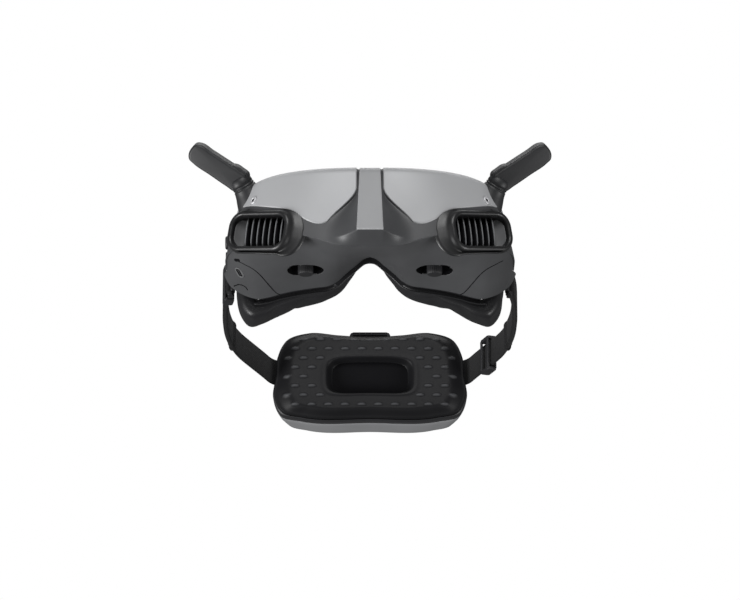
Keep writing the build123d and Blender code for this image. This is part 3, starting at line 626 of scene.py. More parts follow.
def panel_low(zone, t):
    """Height of the panel's lower edge on a column."""
    z = 0.0
    for _ in range(12):
        z = 0.5 * z + 0.5 * float(np.interp(panel_x(zone, t, z), PANEL_EDGE[:, 0], PANEL_EDGE[:, 1]))
    return z


def panel_rise(zone, t, z):
    """How far the panel stands out of the housing, rolling down at its edges."""
    near = panel_x(zone, t, z) - panel_start(z) if zone == "front" else 99.0
    near = min(near, (z - panel_low(zone, t)) * 0.9)
    k = 1 - min(1.0, max(0.0, near) / PANEL_ROUND)
    return PANEL_PROUD * (1 - k * k) ** 0.5 - 0.25 * k


def make_panels():
    """The silver visor panels, proud of the housing, with rolled edges."""
    cols = [("front", t, 1) for t in [0, 0.0025, 0.006, 0.01, *np.linspace(0.02, 1, 64)]]
    cols += [("side", t, 1) for t in np.linspace(0, 1, 10)[1:]]
    grid = shell_grid(cols, panel_low, panel_rise, n_wall=52, edge_steps=(0, 0.1, 0.25, 0.45, 0.7),
                      x_of=panel_x)
    faces = grid_faces(*grid.shape[:2])
    for side, turn in SIDES:
        skin = mesh("visor_panel_" + side + "_skin", turn(grid.reshape(-1, 3)), faces, "silver", "goggles",
                    "visor_panel_" + side)
        thicken(skin, 0.9)


SHELL_EDGE = curve_through([(0, -3.0), (3, -4.2), (8, -8.3), (14.5, -14.0), (19, -18.3), (24, -20.8),
                            (32, -21.9), (42, -23.2), (52, -25.0), (60, -27.0), (66, -27.6), (71, -26.2),
                            (76.2, -23.6), (80, -20.8), (83, -17.6), (85, -12.0)], 200)


def edge_z(x):
    """Height of the shell's rear lower edge."""
    return np.interp(np.abs(x), SHELL_EDGE[:, 0], SHELL_EDGE[:, 1])


TUCK = 0.925  # the underside's rear edge is drawn in to this part of the brow's width


def lower_grid(cols, n):
    """Underside, from below the brow back to the rear lower edge, with a rolled lip at the end."""
    rows = []
    for zone, t, sign in cols:
        side = t if zone == "side" else 0.0
        z0 = brow_low(zone, t)
        x0 = column_x(zone, t, z0)
        start = wall_point(x0, z0, -1.1, side)
        x1 = x0 * TUCK if zone != "side" else SIDE_X * (TUCK + (1 - TUCK) * t)
        end = np.array([x1, rear_y(x1) + 0.15, float(edge_z(x1))])
        sag = 2.4 * smoothstep(x1, 8, 32) * (1 - 0.75 * smoothstep(x1, 64, 84))
        power = 1.25 + 0.45 * (1 - smoothstep(x1, 0, 24))
        bulge = 1.6 * smoothstep(x1, 60, 80)
        col = []
        for v in np.linspace(0, 1, n):
            p = start + (end - start) * v
            p[0] += bulge * math.sin(math.pi * v)
            p[2] = start[2] + (end[2] - start[2]) * v**power - sag * math.sin(math.pi * v) ** 1.1
            col.append([sign * p[0], p[1], p[2]])
        last = np.array(col[-1])
        for dy, dz in ((0.25, 0.25), (0.3, 0.8), (0.3, 1.6)):
            col.append(last + np.array([-sign * 0.3 * dz, dy, dz]))
        rows.append(col)
    return np.array(rows)


LOWER = lower_grid(body_columns(n_face=7, n_flank=30, n_front=130, n_side=14), n=90)
VIEW_UP = np.array([0.0, -0.3256, 0.9455])


def on_underside(x, up):
    """Point and outward normal of the underside, found from where it shows in a view from below the front."""
    flat = LOWER.reshape(-1, 3)
    score = (flat[:, 0] - x) ** 2 + (flat @ VIEW_UP - up) ** 2 + 0.002 * flat[:, 1]
    i, j = divmod(int(np.argmin(score)), LOWER.shape[1])
    i = min(max(i, 1), LOWER.shape[0] - 2)
    j = min(max(j, 1), LOWER.shape[1] - 2)
    n = unit(np.cross(LOWER[i + 1, j] - LOWER[i - 1, j], LOWER[i, j + 1] - LOWER[i, j - 1]))
    return LOWER[i, j], -n if n[2] > 0 else n


SLOT = (21.4, 10.2)
SLOT_SLANT = 5.0
WELL_TOP = -13.1
KNOB_AT = (37.5, -41.0)
# radius, height and share of the rib's depth
KNOB_PROFILE = ((3.2, -21.4, 0), (4.0, -21.2, 0.4), (4.45, -20.6, 1), (4.5, -19.0, 1), (4.5, -16.0, 1),
                (4.3, -13.8, 0.5), (3.5, -13.5, 0))
KNOB_RIBS, KNOB_POINTS = 24, 96


def slot_turn(a, b, way):
    """Turns a plan offset into (way 1) or out of (way -1) the slot's slant."""
    t = math.radians(SLOT_SLANT) * way
    return a * math.cos(t) - b * math.sin(t), a * math.sin(t) + b * math.cos(t)


def open_slots(verts, faces):
    """Drops faces inside the knob slots and the vents, and pulls ragged edges onto the slots' outline."""
    r = SLOT[1] / 2
    reach = SLOT[0] / 2 - r

    def local(v):
        return slot_turn(abs(v[0]) - KNOB_AT[0], v[1] - KNOB_AT[1], -1)

    def signed(v):
        a, b = local(v)
        return math.hypot(a - np.clip(a, -reach, reach), b) - r

    dist = [signed(v) for v in verts]
    kept = [f for f in open_vents(verts, faces) if not all(dist[i] < 0 for i in f)]
    for i in {i for f in kept for i in f if dist[i] < 0.0}:
        v = verts[i]
        a, b = local(v)
        near = float(np.clip(a, -reach, reach))
        size = math.hypot(a - near, b) + 1e-6
        dx, dy = slot_turn(near + (a - near) / size * r, b / size * r, 1)
        v[:2] = ((1 if v[0] > 0 else -1) * (KNOB_AT[0] + dx), KNOB_AT[1] + dy)
    return verts, kept


def make_lower():
    """Underside shell with its knob slots and the seams of its cheek covers, drawn as thin black beads of
    painted shade.
    """
    verts, faces = open_slots(LOWER.reshape(-1, 3).copy(), grid_faces(*LOWER.shape[:2]))
    skin = mesh("lower_shell_skin", verts, faces, "under", "goggles",
                ("lower_shell", "corner_cover_left", "corner_cover_right"))
    thicken(skin, 1.6)
    make_knobs()
    seam = curve_through([(77.5, 1.5), (72.3, -1.0), (67.5, -3.6), (63.5, -7.4), (59.5, -12.2), (55.0, -17.2),
                          (53.2, -18.7)], 46)
    for sign, side in ((1, "left"), (-1, "right")):
        path = []
        for x, up in seam:
            p, n = on_underside(sign * x, up)
            path.append(p + n * 0.05)
        path = np.array(path)
        for _ in range(12):
            path[1:-1] = 0.5 * path[1:-1] + 0.25 * (path[:-2] + path[2:])
        # seam line: a black bead standing in for the shade in the gap, painted shade
        tube("corner_seam_" + side, curve_through(path[::3], 90), 0.26, "deep", "goggles")
    make_socket()


def shell_z(x, y):
    """Height of the underside at a place seen from below."""
    flat = LOWER.reshape(-1, 3)
    near = np.argsort((flat[:, 0] - x) ** 2 + (flat[:, 1] - y) ** 2)[:4]
    return float(np.mean(flat[near, 2]))


def make_knobs():
    """Closed well inside each slot, coloured black as painted shade, and the ribbed focus knob standing in it.
    """
    wide, deep = SLOT[0] + 0.5, SLOT[1] + 0.5
    outline = [slot_turn(a, b, 1) for a, b in rounded_rect(wide, deep, deep / 2 - 0.01, 14)]
    plan = [(KNOB_AT[0] + a, KNOB_AT[1] + b) for a, b in outline]
    n = len(plan)
    verts = [(x, y, shell_z(x, y) + lift) for lift in (0.35, 1.0) for x, y in plan]
    verts += [(x, y, WELL_TOP) for x, y in plan] + [(*KNOB_AT, WELL_TOP)]
    faces = grid_faces(3, n, close_v=True) + fan(2 * n, n, 3 * n)
    v, f = join_geometry([(turn(verts), faces) for _, turn in SIDES])
    # the slot wells are painted shade black
    mesh("slot_wells", v, f, "deep", "goggles")
    knob = []
    for r, z, rib in KNOB_PROFILE:
        for t in circle(KNOB_POINTS):
            reach = r - 0.28 * rib * (0.5 + 0.5 * math.cos(KNOB_RIBS * t))
            knob.append((KNOB_AT[0] + reach * math.cos(t), KNOB_AT[1] + reach * math.sin(t), z))
    faces = capped_faces(len(KNOB_PROFILE), KNOB_POINTS)
    for side, turn in SIDES:
        mesh("focus_knob_" + side, turn(knob), faces, "knob", "knob_" + side, "diopter_knob_" + side)


def make_socket():
    """Data socket with its rim, the dimple above it and the finger groove below. The socket's well, the dimple
    and the groove are painted shade black.
    """
    p, n = on_underside(-76.2, -5.3)
    ay = unit(VIEW_UP - n * np.dot(VIEW_UP, n))
    ax = np.cross(ay, n)
    outer, inner = rounded_rect(4.4, 7.6, 2.15), rounded_rect(2.7, 5.9, 1.3)
    profile = [(outer, -1.2), (outer, 0.28), (outer * 0.96, 0.42), (inner * 1.06, 0.42), (inner, 0.3),
               (inner, -1.8)]
    ring = [p + ax * a + ay * b + n * h for o, h in profile for a, b in o]
    faces = grid_faces(len(profile), len(outer), close_v=True)
    mesh("usb_port_rim", ring, faces, "grille", "goggles", "usb_port")
    # socket well: painted shade black
    v, f = slab_geometry(inner * 1.02, p, ax, ay, n, -1.9, 0.1, bevel=0.05, steps=1)
    mesh("usb_port_well", v, f, "deep", "goggles")
    v, f = slab_geometry(rounded_rect(0.8, 4.4, 0.35, 4), p, ax, ay, n, -0.6, 0.32, bevel=0.1, steps=2)
    mesh("usb_port_tongue", v, f, "knob", "goggles")
    q, m = on_underside(-77.3, 1.6)
    # dimple: a black slab of painted shade, not a dent
    v, f = slab_geometry(rounded_rect(4.2, 2.2, 1.05, 8), q, ax, ay, m, -0.5, 0.16, bevel=0.15, steps=2)
    mesh("socket_dimple", v, f, "deep", "goggles")
    # finger groove: a black bead of painted shade along it
    groove = curve_through([(-79.8, -13.2), (-77.4, -12.4), (-75.0, -12.6), (-72.8, -14.0), (-71.4, -16.4)], 14)
    path = [on_underside(x, up)[0] for x, up in groove]
    tube("flap_groove", curve_through(path[::2], 40), 0.34, "deep", "goggles")


def vent_rim_rings(inner):
    """Rings of the rim, from inside the well over its crest and down onto the housing."""
    profile = [(0.5, -7.0), (0.25, -2.0), (0.0, 0.9), (0.12, 1.7), (0.5, 2.3), (1.1, 2.6), (1.8, 2.5),
               (2.5, 2.0), (3.0, 1.1), (3.35, 0.2), (3.8, -0.6), (4.5, -1.3), (5.4, -1.9), (6.6, -2.5),
               (8.0, -3.0)]
    normal = outline_normals(inner)
    rings = []
    for d, h in profile:
        skirt = smoothstep(d, 2.5, 8.0)
        land = smoothstep(d, 2.8, 6.6)
        sink = 0.12 - 0.6 * smoothstep(d, 6.0, 8.0)
        ring = []
        for (a, b), (na, nb) in zip(inner, normal):
            spread = 0.5 * max(0.0, -na) - 0.45 * max(0.0, na) - 0.4 * max(0.0, nb) - 0.3 * max(0.0, -nb)
            reach = d * (1 + skirt * spread)
            p = vent_xyz(a + na * reach, b + nb * reach, h)
            z = min(max(p[2], -14.0), TOP_Z - EDGE_R)
            on_wall = wall_point(min(p[0], half_width(z)), z, sink) + np.array([0, 0, p[2] - z])
            ring.append(p + (on_wall - p) * land)
        rings.append(ring)
    return np.array(rings)


def vent_slats():
    """Upright fins of the vent, and the beads along their front edges that carry a painted highlight."""
    slats, beads = [], []
    half = VENT_H / 2 - 0.5
    heights = np.linspace(-half, half, 9)
    for i in range(7):
        a = -1.6 + (i - 3) * 4.35
        verts, line = [], []
        for b in heights:
            lean = 0.06 * b
            curl = 0.9 * abs(b / half) ** 3
            verts += [vent_xyz(a + u + lean, b, h - curl)
                      for u, h in ((-0.34, -6.6), (0.34, -6.6), (0.3, -1.5), (-0.3, -1.5))]
            line.append(vent_xyz(a + lean, b, -1.5 - curl))
        slats.append((verts, capped_faces(len(heights), 4)))
        beads.append(ring_sweep(line, 0.42))
    return join_geometry(slats), join_geometry(beads)


def make_vents():
    """Rim blended into the housing, well, slats and the plain plate at the outer end. The well and the slats
    are painted shade black; the slats' edge beads carry a paler painted highlight.
    """
    inner = rounded_rect(VENT_W, VENT_H, VENT_R, 16)
    rings = vent_rim_rings(inner)
    ring_faces = grid_faces(*rings.shape[:2], close_v=True)
    # the well's floor is a black plate of painted shade
    well_v, well_f = slab_geometry(inner * 0.995, VENT_CENTRE, VENT_ALONG, VENT_UP, VENT_OUT, -7.4, -6.4,
                                   bevel=0.1, steps=1)
    (slat_v, slat_f), (bead_v, bead_f) = vent_slats()
    cheek_v = []
    for b in np.linspace(-8.7, 8.7, 14):
        squeeze = 1 - 0.25 * (b / 8.7) ** 4
        cheek_v += [vent_xyz(13.6 + 6.2 * k * squeeze, b, -6.4 + 6.6 * k**1.6) for k in np.linspace(0, 1, 9)]
    cheek_f = grid_faces(14, 9)
    for side, turn in SIDES:
        rim = mesh("vent_rim_" + side, turn(rings.reshape(-1, 3)), ring_faces, "bezel", "goggles",
                   "vent_bezel_" + side)
        thicken(rim, 0.5, offset=0.0)
        # well and slats in painted shade black
        mesh("vent_well_" + side, turn(well_v), well_f, "deep", "goggles")
        mesh("vent_slats_" + side, turn(slat_v), slat_f, "deep", "goggles", "vent_grille_" + side)
        # paler edge beads: painted highlight on the fins' front edges
        mesh("vent_slat_edges_" + side, turn(bead_v), bead_f, "slat", "goggles")
        cheek = mesh("vent_cheek_" + side, turn(cheek_v), cheek_f, "grille", "goggles")
        thicken(cheek, 0.5)


SCREW_X, SCREW_Z = 67.2, 18.9
# radius and height of the head's turned profile
SCREW_PROFILE = ((2.45, -0.6), (2.45, 0.2), (2.3, 0.5), (1.9, 0.65), (1.25, 0.62), (1.05, 0.4), (1.05, -0.6))


def make_screws():
    """Visor screws: a bright ring with a socket of painted shade black, standing just proud of the panel."""
    at = wall_point(SCREW_X, SCREW_Z, PANEL_PROUD + 0.2)
    east = wall_point(SCREW_X + 1, SCREW_Z, PANEL_PROUD) - wall_point(SCREW_X - 1, SCREW_Z, PANEL_PROUD)
    north = wall_point(SCREW_X, SCREW_Z + 1, PANEL_PROUD) - wall_point(SCREW_X, SCREW_Z - 1, PANEL_PROUD)
    n = unit(np.cross(east, north))
    ax = unit(np.cross(n, [0, 0, 1]))
    ay = np.cross(n, ax)
    head = [at + r * (math.cos(a) * ax + math.sin(a) * ay) + n * h
            for r, h in SCREW_PROFILE for a in circle(28)]
    head_f = grid_faces(len(SCREW_PROFILE), 28, close_v=True)
    hexagon = [(1.15 * math.cos(a), 1.15 * math.sin(a)) for a in circle(6)]
    well, well_f = slab_geometry(hexagon, at, ay, ax, n, -0.7, 0.25, bevel=0.02, steps=1)
    v, f = join_geometry([(turn(head), head_f) for _, turn in SIDES])
    mesh("visor_screw_heads", v, f, "screw", "goggles", "visor_screws")
    # hex sockets: black slabs of painted shade
    v, f = join_geometry([(turn(well), well_f) for _, turn in SIDES])
    mesh("visor_screw_sockets", v, f, "deep", "goggles")


NECK_BASE = np.array([72.6, -45.0, 29.9])
NECK_DIR = unit([0.515, -0.406, 0.749])
BLADE_DIR = unit([0.831, -0.182, 0.528])
PIN_CENTRE = np.array([78.4019, -47.92, 35.959])
PIN_DIR = unit([-0.179861, 0.807701, 0.561489])
BLADE_ACROSS = np.cross(PIN_DIR, BLADE_DIR)


def lathe(profile, origin, axis, n=40):
    """Turned shape from (radius, height) pairs."""
    axis = unit(axis)
    a = unit(np.cross(axis, [0.1, 0.95, 0.2]))
    b = np.cross(axis, a)
    verts = [np.array(origin) + axis * h + r * (math.cos(t) * a + math.sin(t) * b)
             for r, h in profile for t in circle(n)]
    return verts, capped_faces(len(profile), n)


def make_antennas():
    """Ringed neck growing out of the shoulder, and the flat folding paddle."""
    neck = [(11.0, -13.0), (10.6, -10.0), (9.8, -7.0), (8.8, -4.4), (7.9, -2.3), (7.3, -0.6), (6.95, 1.0),
            (6.85, 1.5), (6.45, 1.62), (6.4, 2.3), (6.75, 2.45), (6.7, 3.0), (6.35, 3.12), (6.3, 3.7),
            (6.6, 3.85), (6.45, 5.4), (6.1, 7.0), (5.2, 8.4), (3.0, 9.0)]
    hub = [(4.6, -3.4), (5.3, -3.0), (5.3, 3.0), (4.6, 3.4)]
    outline = closed_curve([(-6.0, -3.6), (-4.6, -5.9), (-1.0, -6.35), (8, -6.3), (20, -6.1), (28.2, -5.8),
                            (30.6, -4.4), (31.4, -1.2), (31.0, 2.6), (29.2, 5.2), (25.5, 6.1), (14, 6.3),
                            (2, 6.4), (-3.8, 6.2), (-6.2, 4.6), (-6.9, 0.8)], 84)
    lip = closed_curve([(-6.6, -3.2), (-4.8, -6.9), (-0.5, -7.5), (4.4, -7.2), (6.4, -5.8), (6.0, -3.4),
                        (0, -2.0), (-4.5, -1.6)], 40)
    axes = (PIN_CENTRE, BLADE_DIR, BLADE_ACROSS, PIN_DIR)
    neck_v, neck_f = join_geometry([lathe(neck, NECK_BASE, NECK_DIR), lathe(hub, PIN_CENTRE, PIN_DIR, 32)])
    blade_v, blade_f = join_geometry([slab_geometry(outline, *axes, -4.2, 4.2, bevel=1.7, steps=6),
                                      slab_geometry(lip, *axes, -3.2, 3.0, bevel=0.8)])
    for side, turn in SIDES:
        mesh("antenna_neck_" + side, turn(neck_v), neck_f, "antenna", "goggles", "antenna_knuckle_" + side)
        blade = mesh("antenna_paddle_" + side, turn(blade_v), blade_f, "antenna", "antenna_" + side,
                     "antenna_blade_" + side)
        weighted(blade, 50)


FOAM_RING = [(0, -1.5), (5, -3), (11.6, -11.4), (17.4, -18.8), (26, -24), (40, -27.2), (53, -31.6),
             (63.5, -36.0), (70, -36.8), (75.2, -31), (77.6, -20), (77.4, -2), (72, 18), (60, 29), (34, 32),
             (0, 32.5)]
SETTLE_CAP = 0.9
SETTLE_FRAMES = 20


def settle(obj, held):
    """Puffs a cushion's cover with a short cloth run, each point moving no more than SETTLE_CAP."""
    scene = bpy.context.scene
    rest = np.array([v.co for v in obj.data.vertices])
    group = obj.vertex_groups.new(name="held")
    for i, co in enumerate(rest):
        group.add([i], 1.0 if held(co / MM) else 0.0, "REPLACE")
    mod = obj.modifiers.new("cover", "CLOTH")
    cloth = mod.settings
    for key, value in (("quality", 5), ("mass", 0.15), ("tension_stiffness", 12.0),
                       ("compression_stiffness", 6.0), ("shear_stiffness", 5.0), ("bending_stiffness", 0.4),
                       ("shrink_min", -0.03), ("use_pressure", True), ("uniform_pressure_force", 4.0),
                       ("vertex_group_mass", "held")):
        setattr(cloth, key, value)
    cloth.effector_weights.gravity = 0.0
    mod.point_cache.frame_start = 1
    mod.point_cache.frame_end = SETTLE_FRAMES
    for number in range(1, SETTLE_FRAMES + 1):
        scene.frame_set(number)
    deps = bpy.context.evaluated_depsgraph_get()
    soft = np.array([v.co for v in obj.evaluated_get(deps).data.vertices])
    scene.frame_set(1)
    obj.modifiers.clear()
    obj.vertex_groups.clear()
    move = soft - rest
    size = np.linalg.norm(move, axis=1)[:, None] + 1e-12
    move *= np.minimum(1.0, SETTLE_CAP * MM / size)
    for v, co in zip(obj.data.vertices, rest + move):
        v.co = co
    finer = obj.modifiers.new("finer", "SUBSURF")
    finer.levels = 1
    finer.render_levels = 1
    apply_modifiers(obj)


def seat_y(x):
    """Face side of the cushion, curved round the brow."""
    return -4.0 + 18.0 * (abs(x) / 76.0) ** 2


def front_y(x):
    """Where the cushion starts behind the rear frame."""
    return -18.0 + 8.0 * (abs(x) / SIDE_X) ** 2


def make_foam():
    """Cushion: leather ring from the rear frame to the face, with piping and soft wrinkles."""
    ring = FOAM_RING + [(-x, z) for x, z in reversed(FOAM_RING) if x > 0]
    outline = closed_curve(ring, 190)
    normal = outline_normals(outline)
    # inset from the outline, and depth from the frame (0) to the face (1)
    profile = [(10.8, 0.06), (7.0, 0.02), (3.6, 0.0), (1.4, 0.03), (0.45, 0.08), (0.0, 0.16), (-0.3, 0.35),
               (-0.5, 0.6), (-0.2, 0.78), (0.6, 0.9), (2.0, 0.975), (4.2, 1.0), (6.4, 0.99), (8.4, 0.94),
               (9.9, 0.84), (10.7, 0.65), (10.9, 0.35)]
    verts = []
    for k, (p, nrm) in enumerate(zip(outline, normal)):
        turn = k / len(outline)
        reach = 1 - 0.55 * math.exp(-((p[0] / 26.0) ** 2)) * (1 if p[1] < 10 else 0)
        for inset, depth in profile:
            wave = 0.16 * math.sin(2 * math.pi * (23 * turn + 0.8 * depth))
            wave = wave * smoothstep(depth, 0.25, 0.6) * (1 - smoothstep(inset, 5, 8))
            x, z = p - nrm * (inset * reach - wave)
            y0, y1 = front_y(x), seat_y(x)
            verts.append((x, y0 + (y1 - y0) * depth, z))
    faces = grid_faces(len(outline), len(profile), close_u=True, close_v=True)
    cushion = mesh("face_cushion", verts, faces, "foam", "goggles", "face_foam")
    settle(cushion, lambda p: p[1] < front_y(p[0]) + 2.5)
    bead = [(x, rear_y(x) + 1.6, float(edge_z(x)) - 2.6) for x in np.linspace(-68, 68, 120)]
    tube("cushion_piping", bead, 0.5, "foam", "goggles")


def make_rear_frame():
    """Flat frame behind the housing, trimmed to follow the shell's lower edge."""
    src = NODES["rear_frame"]
    verts = []
    for v in src.data.vertices:
        p = np.array(src.matrix_world @ v.co) / MM
        if abs(p[0]) > 20:
            p[2] = max(p[2], float(edge_z(min(abs(p[0]) + 1.0, SIDE_X))) + 0.5)
        if abs(p[0]) > 60:
            p[0] = np.sign(p[0]) * (60 + (abs(p[0]) - 60) * 0.97)
        verts.append(p)
    mesh("rear_frame_trimmed", verts, [tuple(f.vertices) for f in src.data.polygons], "frame", "goggles",
         "rear_frame", smooth=False)


STRAP_Z, STRAP_H, STRAP_T, HEM_Y = -6.0, 17.0, 1.6, 120.0
STRAP_ROUTE = [(83.0, 10.5), (86.6, 34), (88.2, 62), (88.2, 96), (84.0, 130), (67.5, 176), (63.2, 188.8),
               (55.5, 196.5)]
# height along a stitch and how far it stands off the webbing
STITCH = ((-0.55, -0.1), (-0.3, 0.12), (0.3, 0.12), (0.55, -0.1))


def strap_path(n=150):
    """Centre line of the webbing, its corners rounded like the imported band's."""
    pts = np.array(STRAP_ROUTE, float)
    out = [pts[0]]
    for i in range(1, len(pts) - 1):
        run_in, run_out = pts[i] - pts[i - 1], pts[i + 1] - pts[i]
        cut = 0.42 * min(np.linalg.norm(run_in), np.linalg.norm(run_out))
        a, b = pts[i] - unit(run_in) * cut, pts[i] + unit(run_out) * cut
        out += [(1 - t) ** 2 * a + 2 * t * (1 - t) * pts[i] + t * t * b for t in np.linspace(0, 1, 10)]
    out.append(pts[-1])
    return curve_through(out, n)


def ribbon(path, thick, high):
    """Flat band with rounded edges along a plan path, at the webbing's height."""
    path = np.array(path)
    t = np.gradient(path, axis=0)
    t /= np.linalg.norm(t, axis=1)[:, None]
    nrm = np.stack([t[:, 1], -t[:, 0]], -1)
    sect = rounded_rect(thick, high, min(thick, high) * 0.42, 4)
    verts = [(p[0] + q[0] * a, p[1] + q[1] * a, STRAP_Z + b) for p, q in zip(path, nrm) for a, b in sect]
    return verts, capped_faces(len(path), len(sect))


def make_outriggers():
    """Slim arm from the pivot, and the bracket that carries the webbing's bar."""
    pivot_y = -2.0
    x_axis, y_axis, z_axis = (1, 0, 0), (0, 1, 0), (0, 0, 1)
    arm = closed_curve([(-5.4, -4.8), (0.2, -5.5), (7.5, -8.4), (9.2, -10.6), (9.2, 10.6), (7.5, 8.4),
                        (0.2, 5.5), (-5.4, 4.8), (-7.0, 0)], 72)
    lug = rounded_rect(6.6, 3.4, 1.0, 6)
    hub = [(3.0, 0.0), (3.6, 0.3), (3.6, 0.8), (3.2, 1.2), (1.4, 1.3)]
    parts = [slab_geometry(arm, (80.6, pivot_y + 1.0, STRAP_Z), y_axis, z_axis, x_axis, 0.0, 2.2)]
    for lift in (10.0, -10.0):
        parts.append(slab_geometry(lug, (82.9, 9.6, STRAP_Z + lift), y_axis, x_axis, z_axis, -1.3, 1.3,
                                   bevel=0.5))
    parts.append(lathe([(1.2, -9.6), (1.2, 9.6)], (83.0, 11.7, STRAP_Z), z_axis, 20))
    parts.append(lathe(hub, (82.6, pivot_y, STRAP_Z), x_axis, 32))
    v, f = join_geometry(parts)
    for side, turn in SIDES:
        piece = mesh("headband_arm_" + side, turn(v), f, "frame", "headband", "outrigger_" + side)
        weighted(piece, 45)


def make_buckle(side, turn, centre, run, length):
    """Ladder buckle round the webbing: two end lugs joined by bars on either face."""
    run = np.array([*run, 0.0])
    across = np.array([run[1], -run[0], 0.0])
    centre = np.array([*centre, STRAP_Z])
    high = STRAP_H / 2 + 1.7
    up = (0, 0, 1)
    parts = []
    for z in (high, -high):
        lug = rounded_rect(6.2, length, 1.6, 6)
        parts.append(slab_geometry(lug, centre, across, run, up, z - 1.05, z + 1.05, bevel=0.55))
    end = length / 2
    # place across and along the webbing, and half the bar's length
    bars = [(2.5, 0.0, 3.4), (-2.5, end - 1.3, 1.3), (-2.5, 1.3 - end, 1.3), (2.5, end - 0.9, 0.9),
            (2.5, 0.9 - end, 0.9)]
    for a, b, half in bars:
        at = centre + across * a + run * b
        parts.append(slab_geometry(rounded_rect(1.1, 2 * half, 0.45, 4), at, across, run, up, -high, high,
                                   bevel=0.1, steps=2))
    v, f = join_geometry(parts)
    piece = mesh("ladder_buckle_" + side, turn(v), f, "knob", "adjuster_" + side, "buckle_" + side)
    weighted(piece, 45)


def make_straps():
    """Webbing of the headband: a long band, the doubled front run, the folded hem and its stitches."""
    path = strap_path()
    y = path[:, 1]
    front = path[(y > 14) & (y < HEM_Y)]
    hem = path[(y > HEM_Y - 4.0) & (y < HEM_Y)]
    eye = [(83.0 + 2.1 * math.cos(t), 11.6 + 2.1 * math.sin(t))
           for t in np.linspace(0.6 * math.pi, -math.pi, 16)]
    web_v, web_f = join_geometry([ribbon(path[y > 13.2], STRAP_T - 0.1, STRAP_H - 0.1),
                                  ribbon(front, 2 * STRAP_T, STRAP_H - 0.4),
                                  ribbon(hem, 2 * STRAP_T + 1.0, STRAP_H + 1.4),
                                  ribbon(eye, 1.2, STRAP_H - 0.3)])
    stitches = []
    for y0 in (HEM_Y - 6.0, HEM_Y - 8.2, 17.5, 19.4):
        k = int(np.argmin(abs(y - y0)))
        ahead = unit(path[k + 1] - path[k])
        nrm = np.array([ahead[1], -ahead[0]])
        for z in np.linspace(-7.2, 7.2, 11):
            for out in (nrm, -nrm):
                o = path[k] + out * (STRAP_T + 0.02)
                line = [(o[0] + out[0] * lift, o[1], STRAP_Z + z + dz) for dz, lift in STITCH]
                stitches.append(ring_sweep(line, 0.16, 6))
    stitch_v, stitch_f = join_geometry(stitches)
    for side, turn in SIDES:
        mesh("webbing_" + side, turn(web_v), web_f, "web", "headband", "strap_" + side)
        mesh("webbing_stitches_" + side, turn(stitch_v), stitch_f, "web", "headband")


PACK_Z = -10.5
PACK_HALF = [(0, 17.0), (20, 18.2), (40, 19.6), (54, 14.5), (59.5, 3), (60.5, -10), (61.8, -22), (57, -33.5),
             (44, -37), (0, -38)]
RECESS = (27.0, 12.4, -11.6)  # half width, half height and middle height
ROUND = 4.2  # power of the recess's rounded box
BUMP_X, BUMP_Z = 10.6, 6.2  # spacing of the bumps
POWER_BUTTON_AT = (36.0, 220.2, -10.5)


def pack_outline(sx, sz, n):
    """Outline of the pack about its middle, scaled across and up."""
    half = [(x * sx, PACK_Z + (z - PACK_Z) * sz) for x, z in PACK_HALF]
    return closed_curve(half + [(-x, z) for x, z in reversed(half) if x > 0], n)[::-1]


def shell_band(name, sections, look, node, closed, n=240):
    """Skin through pack outlines given as (y, x scale, z scale), closed at its last one or left open."""
    verts = [(x, y, z) for y, sx, sz in sections for x, z in pack_outline(sx, sz, n)]
    faces = grid_faces(len(sections), n, close_v=True)
    if closed:
        faces += fan(len(verts) - n, n, len(verts))
        verts.append((0, sections[-1][0], PACK_Z))
    mesh(name, verts, faces, look, "headband", node)


def pad_y(x, z, r):
    """Front of the pack's cushion, with rolled rim, recess and staggered bumps, and how high the bump is."""
    y = 181.0 + 5.0 * smoothstep(r, 0.80, 1.0) ** 1.5
    u, w = abs(x) / RECESS[0], (z - RECESS[2]) / RECESS[1]
    w = w * (1.0 + 0.12 * (1 - min(1.0, u) ** 2)) if w < 0 else w
    q = (u**ROUND + abs(w) ** ROUND) ** (1 / ROUND)
    y += 6.2 * (1 - smoothstep(q, 0.88, 1.04))
    y -= 0.25 * math.exp(-(((q - 1.1) / 0.06) ** 2))
    row = (z - RECESS[2]) / BUMP_Z
    best = 0.0
    for i in (math.floor(row), math.ceil(row)):
        cz = i * BUMP_Z + RECESS[2]
        shift = 0.5 if i % 2 else 0.0
        cx = (round(x / BUMP_X - shift) + shift) * BUMP_X
        du, dv = abs(x - cx) / 3.3, abs(z - cz) / 1.25
        cq = (abs(cx) / RECESS[0]) ** ROUND + (abs(cz - RECESS[2]) / RECESS[1]) ** ROUND
        if cq ** (1 / ROUND) < 1.2 or abs(cx) > 53.5 or not -31 < cz < 16.0 or r > 0.93:
            continue
        best = max(best, 1 - smoothstep((du**2.6 + dv**2.6) ** (1 / 2.6), 0.35, 1.0))
    return y - 0.9 * best, best


